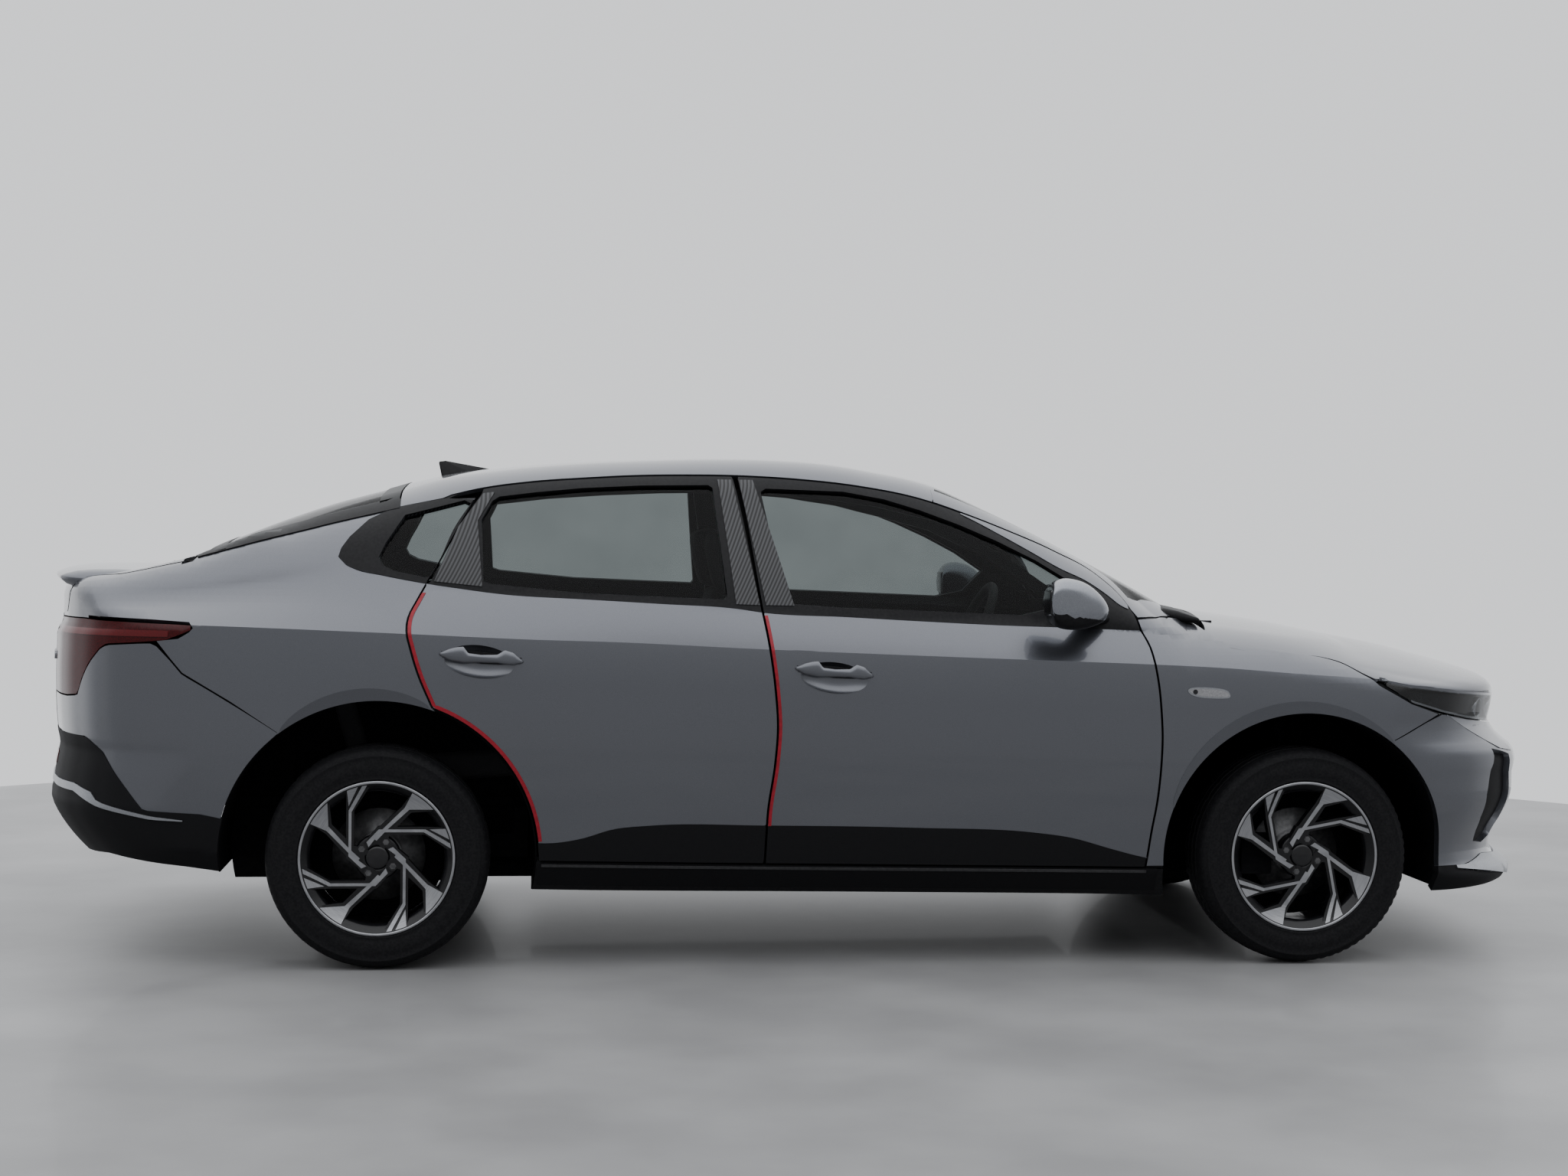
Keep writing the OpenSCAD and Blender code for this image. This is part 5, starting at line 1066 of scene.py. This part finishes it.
rows = []
for x in np.linspace(-2262, -1740, 30):
    deep = float(np.interp(x, [-2262, -2240, -2190, -1740], [622, 600, 482, 474]))
    wide = float(lid_edge(min(x, -1912))) - 34
    half = [(wide, 1022), (500, 960), (486, 800), (478, max(640, deep + 20)), (466, deep + 30),
            (430, deep + 6)]
    row = half + [(y, deep) for y in np.linspace(300, -300, 7)] + [(-y, z) for y, z in reversed(half)]
    rows.append([(x, y, z) for y, z in row])
one(turned_in("boot_carpet", np.array(rows), FABRIC, 6, 0), "body")

SPOILER = [(-2348, 1104), (-2346, 1109), (-2330, 1116), (-2300, 1124), (-2250, 1128), (-2190, 1129),
           (-2130, 1127), (-2070, 1120), (-2040, 1112), (-2080, 1085), (-2200, 1070), (-2300, 1076),
           (-2330, 1086), (-2344, 1098)]
mid = (-2230.0, 1098.0)
n = 61
m = len(SPOILER)
rings = []
for y in np.linspace(-606, 606, n):
    b = float(TAIL_BACK(abs(y)))
    d = 14 * (y / 600) ** 2
    e = 1 - 0.85 * max(0, (abs(y) - 560) / 46) ** 2
    for x, z in SPOILER:
        rings.append((mid[0] + (x - mid[0]) * e + b, y, mid[1] + (z - mid[1]) * e - d))
tail_wing = new_object("spoiler_skin", place(rings), capped_faces(n, m), PAINT)
fix_normals(tail_wing)
one(tail_wing, "boot_lid")
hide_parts("spoiler")

# Nose and tail

def front_x(y, z):
    y, z = arrays(y, z)
    return search(lambda x: outside(x, y, z), 1450, 2400, y.shape)


def fan_uv(points, front=True):
    """Arc and height for points given by their distance from the middle and height."""
    y = np.array([p[0] for p in points], float)
    z = np.array([p[1] for p in points], float)
    if front:
        a = np.degrees(np.arctan2(y, front_x(y, z) - AXLE))
    else:
        a = np.degrees(np.arctan2(-y, -(rear_x(y, z) + AXLE)))
        a = TAIL_MID + a
    return list(zip(a * FAN_MM, z))


def arch_angle(z, r, front=True):
    """Angle at which the wheel arch cuts the nose or tail at a height."""
    d = math.sqrt(max(r * r - (z - AXLE_Z) ** 2, 1))
    x = AXLE + d if front else -AXLE - d
    return math.degrees(math.atan2(float(side_y(x, z)), d))


def fan_outline(low, high, a_edge, n=60, middle=0.0):
    """An outline between two tables of heights, out to an angle given by height."""
    a_low = a_edge(table(low, 62))
    for _ in range(5):
        a_low = a_edge(float(table(low, a_low)))
    a_high = 72.0
    for _ in range(8):
        a_high = a_edge(float(table(high, a_high)))
    z0 = float(table(low, a_low))
    z1 = float(table(high, a_high))
    right = [(a_edge(z), z) for z in np.linspace(z0, z1, 24)[1:-1]]
    pts = [(a, float(table(low, a))) for a in np.linspace(-a_low, a_low, n)] + right
    pts += [(a, float(table(high, a))) for a in np.linspace(a_high, -a_high, 2 * n)]
    pts += [(-a, z) for a, z in reversed(right)]
    return [((middle + a) * FAN_MM, z) for a, z in pts]


NOSE_ON = on_fan(AXLE)
TAIL_ON = on_fan(-AXLE)


def front_arch(z):
    return arch_angle(z, ARCH_FRONT)


def rear_arch(z):
    return arch_angle(z, ARCH_REAR, False)


outline = fan_outline(BUMPER_LOW, raised(BUMPER_TOP, -2), front_arch)
mouth = [(-556, 585), (-616, 572), (-636, 545), (-588, 403), (-538, 348), (538, 348), (588, 403),
         (636, 545), (616, 572), (556, 585)]
mouth_uv = fan_uv(dense(mouth, 30))
corner = [(668, 600), (744, 622), (766, 560), (771, 488), (762, 420), (740, 345), (690, 335), (632, 350),
          (628, 403), (668, 545)]
corner_uv = fan_uv(dense(corner, 25))
corner_far = [(-u, z) for u, z in reversed(corner_uv)]
skin = one(patch("front_bumper_skin", NOSE_ON, [outline, mouth_uv, corner_uv, corner_far], STEP, PAINT, 2,
                 20), "body")
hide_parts("front_bumper")
back = patch("front_mouth_back", NOSE_ON, [grown(mouth_uv, 8)], 40, PLASTIC, -34, 0)
one(back, "body")
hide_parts("grille")
for s, loop in (("right", corner_far), ("left", corner_uv)):
    one(patch("corner_intake_" + s, NOSE_ON, [grown(loop, 6)], 30, PLASTIC, -16, 0), "body")
for k, z in enumerate((385, 425, 465, 505, 545)):
    half = float(np.interp(z, [348, 403, 545, 585], [536, 586, 634, 558]))
    a = fan_uv([(half, z)])[0][0]
    bar = ([(u, z - 9) for u in np.linspace(-a, a, 40)] + [(u, z + 9) for u in np.linspace(a, -a, 40)])
    one(patch("mouth_bar_%d" % k, NOSE_ON, [bar], 30, GLOSS, -14, 12), "body")
LIP_LOW = ([0, 40, 59], [238, 232, 271])
lip = fan_line(LIP_LOW, -59, 59, 80) + fan_line(BUMPER_LOW, 59, -59, 100, -2)
one(patch("front_lip", NOSE_ON, [lip], 18, SILVER, 6, 14), "body")
outline = fan_outline(VALANCE_LOW, raised(BUMPER_LOW, 6), front_arch)
one(patch("front_valance", NOSE_ON, [outline], STEP, PLASTIC, 0.5, 24), "body")


def skyward(at, n):
    return n + np.array([0, 0, 0.5])


LEDGE_LOW = ([41, 47.4, 61.5], [606, 620, 730])
ledge = fan_line(BUMPER_TOP, -41, -61.5, 30, -4) + fan_line(LEDGE_LOW, -61.5, -41, 30)
pair(patch("bumper_ledge_right", NOSE_ON, [ledge], 14, PAINT, 3.4, 4, bend=skyward), "body")

grille = fan_bar(-30.2, 30.2, 692, 764, 40)
one(patch("grille_back", NOSE_ON, [grille], 30, GLOSS, -12, 8), "body")
for k, z in enumerate((704, 728, 752)):
    bar = fan_bar(-30, 30, z - 6, z + 6, 40)
    one(patch("grille_bar_%d" % k, NOSE_ON, [bar], 25, SILVER if k == 1 else GLOSS, 0, 12), "body")

lamp = fan_line(LAMP_LOW, -30.8, -74.6, 60, 1.5) + fan_line(LAMP_HIGH, -74.6, -30.8, 60, 4)
cover = patch("headlamp_cover_right", NOSE_ON, [lamp], 22, LAMP_CLEAR, 1.5, 6)
pair(cover, "body")
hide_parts("headlamps")
pair(patch("headlamp_inside_right", NOSE_ON, [lamp], 30, LAMP_DARK, -22, 0), "body")
edge = fan_line(LAMP_LOW, -31, -70, 50, 2) + fan_line(LAMP_LOW, -70, -31, 50, 8)
pair(patch("headlamp_chrome_right", NOSE_ON, [edge], 12, CHROME, 0.5, 8), "body")
tip = [(-a * FAN_MM, z) for a, z in ((70, 768), (77, 800), (77, 842), (70, 816))]
pair(patch("headlamp_tip_right", NOSE_ON, [tip], 14, SATIN, -10, 0), "body")


def eye(name, a, z, r, inset):
    """A round lamp with a bright ring and a clear bowl, set into the nose."""
    u = np.array([-a * FAN_MM])
    p, n = normals_at(NOSE_ON, u, np.array([float(z)]))
    p = p[0] - n[0] * inset
    n = n[0]
    across = np.cross(n, [0, 0, 1])
    across /= np.linalg.norm(across)
    upward = np.cross(across, n)
    t = np.linspace(0, 2 * math.pi, 40, endpoint=False)
    prof = [(1.12, -8), (1.12, 2), (1.0, 4), (0.94, 0), (0.8, 1), (0.55, 5), (0.25, 7), (0.02, 7.5)]
    pts = [p + (across * math.cos(k) + upward * math.sin(k)) * r * q + n * h for k in t for q, h in prof]
    obj = new_object(name, place(pts), grid_faces(40, len(prof), True), [CHROME, LAMP_DARK])
    for face in obj.data.polygons:
        face.material_index = 1 if face.index % (len(prof) - 1) >= 3 else 0
    fix_normals(obj)
    pair(obj, "body")


eye("headlamp_eye_a_right", 39, 728, 27, 16)
eye("headlamp_eye_b_right", 49, 738, 29, 16)

TAIL_LAMP_LOW = ([25, 35.8, 39.7, 41.2, 43, 45.3, 46.5, 48, 52, 55.6, 57.9, 59.4],
                 [758, 758, 764, 813, 857, 900, 911, 913, 918, 924, 942, 956])
TAIL_LAMP_HIGH = ([25, 30, 40, 50, 59, 59.4], [976, 978, 980, 974, 967, 965])
REAR_TOP = ([0, 22.6, 22.8, 35.8, 39.7, 41.2, 43, 45.3, 46.5, 48, 52, 54, 56.4, 58.2, 65.1, 72.5, 75],
            [628, 628, 757, 757, 763, 812, 856, 899, 910, 912, 917, 918, 872, 832, 754, 673, 650])
REAR_LOW = ([0, 30, 44.9, 56.5, 64, 75], [290, 310, 324, 296, 274, 262])
lamp = fan_line(TAIL_LAMP_LOW, 25, 59, 60, 2, TAIL_MID) + fan_line(TAIL_LAMP_HIGH, 59, 25, 60, -1, TAIL_MID)
cover = patch("tail_lamp_right", TAIL_ON, [lamp], 20, LAMP_RED, 2.5, 12)
pair(cover, "body")
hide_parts("tail_lamps")
bar = fan_bar(28, 56, 935, 952, 50, TAIL_MID)
pair(patch("tail_lamp_bar_right", TAIL_ON, [bar], 15, LAMP_LIT, 4, 3), "body")

corner = fan_uv([(-562, 996), (-592, 1041), (-598, 1074)], False)
corner += [((TAIL_MID + a) * FAN_MM, 1074.0) for a in np.linspace(35, 41.5, 6)]
corner += fan_line(TAIL_LAMP_HIGH, 41.5, 25.6, 20, 3, TAIL_MID)
corner += fan_uv([(-443, 991)], False)
pair(patch("lamp_corner_right", TAIL_ON, [corner], 14, PAINT, 2, 8), "body")

outline = fan_outline(REAR_LOW, raised(REAR_TOP, -2), rear_arch, 80, TAIL_MID)
skin = one(patch("rear_bumper_skin", TAIL_ON, [outline], STEP, PAINT, 1.9, 6), "body")
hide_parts("rear_bumper")

INSERT_TOP = ([0, 41.5, 42.9, 45.2, 49.5, 52.6, 60.5, 63.7, 75],
              [650, 648, 637, 612, 521, 450, 441, 428, 420])
STRIP_TOP = ([0, 39.5, 44.5, 45.2, 53.7, 58.3], [520, 512, 491, 469, 435, 424])
STRIP_LOW = ([0, 39.5, 44.5, 45.2, 53.7, 58.3], [498, 490, 460, 456, 426, 421])
outline = fan_outline(raised(REAR_LOW, -3), INSERT_TOP, lambda z: rear_arch(z) + 0.25, 80, TAIL_MID)
one(patch("rear_insert", TAIL_ON, [outline], STEP, PLASTIC, 4.5, 24), "body")
line = fan_line(STRIP_TOP, -58, 58, 100, 0, TAIL_MID)
line += fan_line(STRIP_LOW, 58, -58, 100, 0, TAIL_MID)
one(patch("rear_strip", TAIL_ON, [line], 20, SILVER, 8, 5), "body")
for s in (-1, 1):
    spot = fan_uv(dense([(s * 330, 545), (s * 330, 580), (s * 450, 580), (s * 450, 545)], 15), False)
    one(patch("rear_reflector_" + ("right" if s < 0 else "left"), TAIL_ON, [spot], 15, LAMP_LIT, 7, 4),
        "body")


# Wheels

def tyre(name):
    """A tyre with cut shoulders and tread blocks."""
    half = [(206.5, 76), (209, 84), (213, 90), (217, 94), (221, 96), (223, 98.6), (226, 98.8), (228, 98),
            (236, 100.6), (256, 102.3), (270, 101.6), (284, 98.6), (286, 99.6), (289, 99.3), (291, 96.8),
            (299, 92), (305.5, 85), (309.5, 77), (312, 66), (313.3, 57), (306, 56), (306, 48), (314.2, 47),
            (315.4, 24), (308, 23), (308, 14), (315.8, 13)]
    prof = np.array(half + [(r, -w) for r, w in reversed(half)])
    n = 216
    t = np.linspace(0, 2 * math.pi, n, endpoint=False)
    r = np.repeat(prof[None, :, 0], n, 0)
    w = np.repeat(prof[None, :, 1], n, 0)
    shoulder = (prof[:, 0] > 305) & (np.abs(prof[:, 1]) > 57)
    cut = (np.arange(n) % 3 < 1)[:, None] & shoulder[None, :]
    r = np.where(cut, r - 2.5, r)
    block = (np.arange(n) % 6 >= 5)[:, None] & ((np.abs(prof[:, 1]) < 47) & (prof[:, 0] > 313))[None, :]
    r = np.where(block, r - 3, r)
    ring = np.stack([np.cos(t)[:, None] * r, -w, np.sin(t)[:, None] * r], -1) / 1000
    obj = new_object(name, ring.reshape(-1, 3), grid_faces(n, len(prof), True, False), RUBBER)
    fix_normals(obj)
    obj.data.set_sharp_from_angle(angle=math.radians(40))
    return obj


def spun(points, a):
    c = math.cos(math.radians(a))
    s = math.sin(math.radians(a))
    return [(x * c - y * s, x * s + y * c) for x, y in points]


ARM_BODY = [(-18, 207), (-65, 132), (-65, 8), (-28, -22), (-42, -38), (-87, 0), (-87, 188)]
WEDGE_BODY = [(97, 184), (160, 133), (94, 127), (34, 66), (20, 20), (-10, 50), (4, 86), (66, 142)]
ARM_FACE = [(-26, 210), (-40, 208), (-80, 134), (-80, 4), (-44, -30), (-30, -24), (-72, 8), (-72, 129)]
WEDGE_FACE = [(99, 187), (130, 168), (161, 138), (89, 136), (26, 78), (-2, 48), (-10, 54), (14, 80),
              (76, 141)]
NOTCH_FACE = [(-84, 193), (-52, 205), (-80, 146)]


def spoke(name, outline, low, top, material):
    """A spoke whose face rises towards the rim; the outline is seen from outside."""
    edge = dense(outline, 8)
    lo = edge.min(0)
    hi = edge.max(0)
    grid = np.array([(x, y) for x in np.arange(lo[0], hi[0], 8) for y in np.arange(lo[1], hi[1], 8)])
    inside, near = inside_and_far(grid, [edge])
    grid = grid[inside & (near > 3)]
    n = len(edge)
    rim = [(i, (i + 1) % n) for i in range(n)]
    made = delaunay_2d_cdt([Vector(p) for p in np.concatenate([edge, grid])], rim, [], 1, 1e-5)
    flat = np.array([tuple(p) for p in made[0]])
    r = np.hypot(flat[:, 0], flat[:, 1])
    rise = 20.5 * np.clip((r - 150) / 62, 0, 1) ** 1.4
    verts = [(x / 1000, -(top + h) / 1000, y / 1000) for (x, y), h in zip(flat, rise)]
    base = len(verts)
    verts += [(x / 1000, -(low + h) / 1000, y / 1000) for (x, y), h in zip(flat[:n], rise[:n])]
    faces = [tuple(f) for f in made[2]]
    faces += [(i, (i + 1) % n, base + (i + 1) % n, base + i) for i in range(n)]
    obj = new_object(name, verts, faces, material, smooth=False)
    fix_normals(obj)
    return obj


SPOKES = (("arm", ARM_BODY, 44, 72, ALLOY_BLACK), ("wedge", WEDGE_BODY, 44, 72.3, ALLOY_BLACK),
          ("arm_face", ARM_FACE, 70, 75.2, ALLOY), ("wedge_face", WEDGE_FACE, 70, 75.4, ALLOY),
          ("notch_face", NOTCH_FACE, 70, 75.3, ALLOY))


def wheel(name, start=0.0):
    """A two-tone wheel with its bolts and brake disc, as one object."""
    barrel = [(188, 66), (189, 74), (193, 80), (200, 86), (206, 92), (211, 96.5), (213, 97.6), (218, 97.6),
              (220.3, 95), (219, 91), (206, 77), (206, -76.5), (198, -76.5), (192, -70), (190, 40),
              (188, 66)]
    ring = [(211.5, 96.8), (212.5, 98.2), (217.5, 98.2), (218.5, 97.2)]
    hub = [(64, 38), (66, 52), (64, 66), (60, 69), (40, 70.5), (33, 70), (32, 66)]
    cap = [(32.5, 64), (32, 72), (30, 74.5), (24, 75.5), (12, 76.3), (0.2, 76.6)]
    disc = [(58, 40), (58, -29), (60, -30), (131.5, -30), (132, -29), (132, -9), (131.5, -8), (70, -8),
            (66, -2), (58, 0)]
    pieces = [revolve("barrel", barrel, ALLOY_BLACK, 120), revolve("ring", ring, ALLOY, 120),
              revolve("hub", hub, ALLOY_BLACK, 64), revolve("cap", cap, GLOSS, 64),
              revolve("disc", disc, STEEL, 96)]
    for k in range(4):
        a = k * 90 + start
        for kind, outline, low, top, look in SPOKES:
            pieces.append(spoke(kind, spun(outline, a), low, top, look))
        c = math.radians(a + 61)
        x, y = 50 * math.cos(c), 50 * math.sin(c)
        pieces.append(slab("well", circle(x, y, 13, 24), 60, 70.9, GLOSS))
        pieces.append(slab("nut", circle(x, y, 9.5, 6), 62, 74, STEEL, 1.5))
    return join(pieces, name)


SHIELD = [(48, -40), (120, -39), (186, -42), (187.6, -44), (187.6, -49), (48, -46)]
for end, x in (("front", AXLE), ("rear", -AXLE)):
    for hand, y in (("right", -TRACK / 2), ("left", TRACK / 2)):
        where = Vector(((x + MID_X) / 1000, y / 1000, AXLE_Z / 1000))
        turn = Matrix.Translation(where) @ Matrix.Rotation(0 if hand == "right" else math.pi, 4, "Z")
        body = "wheel_%s_%s" % (end, hand)
        for make, kind, slot in ((tyre, "tyre", "tyre"), (wheel, "rim", "alloy")):
            name = "%s_look_%s_%s" % (kind, end, hand)
            obj = make(name, 11) if make is wheel and end == "front" else make(name)
            obj.data.transform(turn)
            one(obj, body)
            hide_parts("%s_%s_%s" % (kind, end, hand))
        shield = revolve("dust_shield_%s_%s" % (end, hand), SHIELD, UNDER, 72)
        shield.data.transform(turn)
        one(shield, "knuckle_" + hand if end == "front" else "body")

# Wheel arches inside

n = 60
for end, x, r, depth, last in (("front", AXLE, ARCH_FRONT - 3, 478, 196),
                               ("rear", -AXLE, ARCH_REAR - 3, 520, 186)):
    a = np.radians(np.linspace(-13, last, n))
    prof = [(r, 0), (r + 4, 0), (r + 4, depth), (r, depth)]
    edge = np.minimum(side_y(x + r * np.cos(a), AXLE_Z + r * np.sin(a)) - 22, 846)
    pts = [(x + q * math.cos(t), -(y or e), AXLE_Z + q * math.sin(t))
           for t, e in zip(a, edge) for q, y in prof]
    strip = new_object("arch_strip", place(pts), grid_faces(n, len(prof), False, True), UNDER)
    edge = [(x + r * math.cos(t), AXLE_Z + r * math.sin(t)) for t in np.radians(np.linspace(-13, 193, n))]
    pts = [(u, -depth - d, v) for d in (0, 3) for u, v in edge]
    faces = [(i, (i + 1) % n, n + (i + 1) % n, n + i) for i in range(n)]
    faces += [tuple(range(n)), tuple(range(2 * n - 1, n - 1, -1))]
    wall = new_object("arch_wall", place(pts), faces, UNDER)
    well = join([strip, wall], "arch_well_%s_right" % end)
    fix_normals(well)
    well.data.set_sharp_from_angle(angle=math.radians(40))
    pair(well, "body")
    if end == "front":
        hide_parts("arch_liners")

# Mirrors and aerial

MIRROR = rounded([(549, 1048), (553, 1100), (572, 1119), (604, 1126), (659, 1113), (706, 1074), (727, 1039),
                  (722, 1012), (700, 994), (646, 976), (585, 978), (556, 999)], 4)
n = 49
m = len(MIRROR)
rings = []
for t in np.linspace(-1, 1, n):
    w = (1 - min(abs(t), 0.999) ** 2.4) ** (1 / 2.4)
    for x, z in MIRROR:
        rings.append((549 + (x - 549) * (0.3 + 0.7 * w), -944 + 61 * t,
                      1052 + (z - 1052) * (0.35 + 0.65 * w)))
cap = new_object("mirror_cap_right", place(rings), capped_faces(n, m), [CAP, SATIN])
for face in cap.data.polygons:
    x, _, z = face.center * 1000
    face.material_index = 1 if z < 1024 - 0.12 * (x - MID_X - 554) else 0
fix_normals(cap)
cap.data.set_sharp_from_angle(angle=math.radians(50))
twin = pair(cap, "door_front_right")
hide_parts("mirror_right")
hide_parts("mirror_left")
foot = hull_of("mirror_foot_right", [(640, -905, 1010, 15), (690, -905, 1010, 15), (690, -806, 1005, 14),
                                     (750, -800, 1005, 14)], SATIN)
pair(foot, "door_front_right")
pane = hull_of("mirror_pane_right", [(556, -905, 1084, 8), (556, -982, 1082, 8), (556, -903, 1022, 8),
                                     (556, -985, 1026, 8)], GLOSS)
pair(pane, "door_front_right")
fin = hull_of("aerial_fin", [(-1196, -17, 1412, 6), (-1196, 17, 1412, 6), (-1120, -14, 1424, 6),
                             (-1120, 14, 1424, 6), (-1056, 0, 1432, 5), (-1206, 0, 1453, 5),
                             (-1190, 0, 1456, 4), (-1140, 0, 1442, 5)], SATIN)
one(fin, "body")
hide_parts("antenna")
end = hull_of("cowl_end_right", [(966, -650, 1013, 20), (968, -560, 1022, 20), (1000, -664, 1008, 18),
                                 (1056, -694, 999, 7), (1062, -600, 1008, 8),
                                 (1010, -560, 1020, 14)], SATIN)
pair(end, "body")


# Seats

def pw(v, e):
    return math.copysign(abs(v) ** e, v)


def pad(name, centre, size, tilt):
    """A crowned cushion, length by width by height, leaning back by tilt degrees."""
    n, m = 48, 32
    pts = []
    for i in range(n):
        p = 2 * math.pi * i / n
        for j in range(m + 1):
            q = math.pi * (j / m - 0.5)
            cp, sp, cq, sq = math.cos(p), math.sin(p), math.cos(q), math.sin(q)
            x = pw(cq, 0.32) * pw(cp, 0.3)
            y = pw(cq, 0.32) * pw(sp, 0.3)
            z = pw(sq, 0.5)
            pull = 1 - 0.03 * (1 - x * x) * abs(y) - 0.03 * (1 - y * y) * abs(x)
            crown = 1 + 0.16 * (1 - x * x) * (1 - y * y)
            seam = 1 - 0.05 * math.exp(-((abs(y) - 0.62) / 0.05) ** 2)
            pts.append((x * pull * size[0] / 2, y * pull * size[1] / 2, z * crown * seam * size[2] / 2))
    c = math.cos(math.radians(tilt))
    s = math.sin(math.radians(tilt))
    pts = [(centre[0] + x * c - z * s, centre[1] + y, centre[2] + x * s + z * c) for x, y, z in pts]
    obj = new_object(name, place(pts), grid_faces(n, m + 1, True, False), FABRIC)
    fix_normals(obj)
    one(obj, "body")
    return obj


for hand, y in (("right", -360), ("left", 360)):
    pad("seat_base_" + hand, (140, y, 448), (560, 480, 130), 3)
    pad("seat_back_" + hand, (-218, y, 770), (600, 450, 120), 106)
    pad("seat_head_" + hand, (-330, y, 1150), (190, 260, 90), 102)
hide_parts("front_seats")
first = pad("rear_base", (-1130, 0, 545), (560, 1120, 120), 4)
pad("rear_back", (-1470, 0, 765), (560, 1100, 100), 107)
for hand, y in (("right", -340), ("left", 340)):
    pad("rear_head_" + hand, (-1552, y, 1080), (160, 250, 80), 100)
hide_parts("rear_seat")

# Looks of the frame's own pieces that stay

# The frame's own panels under the skins are coloured satin black rather than body colour: painted shade
# that darkens the panel gaps and door jambs. The roof panel takes the dark cabin plastic.
GAP_SHADE_LOOKS = {name: SATIN for name in SKINS}
GAP_SHADE_LOOKS["roof_panel"] = CABIN
slots = {p["node"]: p["material_slot"] for p in frame["record"]["subparts"]}
for name, obj in nodes.items():
    look = GAP_SHADE_LOOKS.get(name) or CAD_LOOK.get(slots.get(name), PLASTIC)
    obj.data.materials.clear()
    obj.data.materials.append(look)

# Floor, light and camera

FLOOR_R = 5.2
disc = [(FLOOR_R * math.cos(t), FLOOR_R * math.sin(t), 0) for t in np.linspace(0, 2 * math.pi, 181)[:-1]]
floor = new_object("studio_floor", disc, [tuple(range(180))], FLOOR, smooth=False)
world = bpy.data.worlds.new("studio")
bpy.context.scene.world = world
world.use_nodes = True
tree = world.node_tree
link = tree.links.new
way = add(tree, "TexCoord")
split = add(tree, "SeparateXYZ")
span = add(tree, "MapRange", From_Min=-1)
sky = add(tree, "ValToRGB")
SKY = ((0.0, 0.4), (0.375, 0.46), (0.45, 0.52), (0.62, 0.54), (0.75, 0.7), (0.9, 0.95), (1.0, 1.0))
LIGHT = 2.1
while len(sky.color_ramp.elements) < len(SKY):
    sky.color_ramp.elements.new(0.5)
for stop, (at, light) in zip(sky.color_ramp.elements, SKY):
    stop.position = at
    stop.color = (light * 0.96, light * 0.975, light, 1)
link(way.outputs["Generated"], split.inputs["Vector"])
link(split.outputs["Z"], span.inputs["Value"])
link(span.outputs["Result"], sky.inputs["Fac"])
link(sky.outputs["Color"], tree.nodes["Background"].inputs["Color"])
side = add(tree, "MapRange", From_Min=-0.3, From_Max=0.3, To_Min=0.5 * LIGHT, To_Max=LIGHT)
high = add(tree, "MapRange", From_Min=0.2, From_Max=0.6, To_Max=LIGHT)
most = add(tree, "Math")
most.operation = "MAXIMUM"
link(split.outputs["Y"], side.inputs["Value"])
link(split.outputs["Z"], high.inputs["Value"])
link(side.outputs["Result"], most.inputs[0])
link(high.outputs["Result"], most.inputs[1])
link(most.outputs["Value"], tree.nodes["Background"].inputs["Strength"])


def area_light(name, at, look, size, power):
    data = bpy.data.lights.new(name, "AREA")
    data.shape = "RECTANGLE"
    data.size = size[0]
    data.size_y = size[1]
    data.energy = power
    obj = bpy.data.objects.new(name, data)
    bpy.context.scene.collection.objects.link(obj)
    obj.location = at
    aim = Vector(look) - Vector(at)
    obj.rotation_euler = aim.to_track_quat("-Z", "Y").to_euler()
    return obj


area_light("ceiling", (0.0, -1.5, 6.5), (0, -1.5, 0), (14.0, 10.0), 120).visible_glossy = False

yaw, pitch, roll = 0.1032, -0.0230, 0.0116
ahead = Vector((math.sin(yaw) * math.cos(pitch), math.cos(yaw) * math.cos(pitch), math.sin(pitch)))
across = Vector((math.cos(yaw), -math.sin(yaw), 0))
above = across.cross(ahead)
x_axis = across * math.cos(roll) + above * math.sin(roll)
y_axis = above * math.cos(roll) - across * math.sin(roll)
eye_at = Vector(((-900.19 + MID_X) / 1000, -7.63815, 1.2438))
data = bpy.data.cameras.new("photo_camera")
data.sensor_width = 36
data.lens = 54.86
data.clip_end = 200
camera = bpy.data.objects.new("photo_camera", data)
bpy.context.scene.collection.objects.link(camera)
camera.matrix_world = Matrix(((x_axis.x, y_axis.x, -ahead.x, eye_at.x),
                              (x_axis.y, y_axis.y, -ahead.y, eye_at.y),
                              (x_axis.z, y_axis.z, -ahead.z, eye_at.z), (0, 0, 0, 1)))
bpy.context.scene.camera = camera
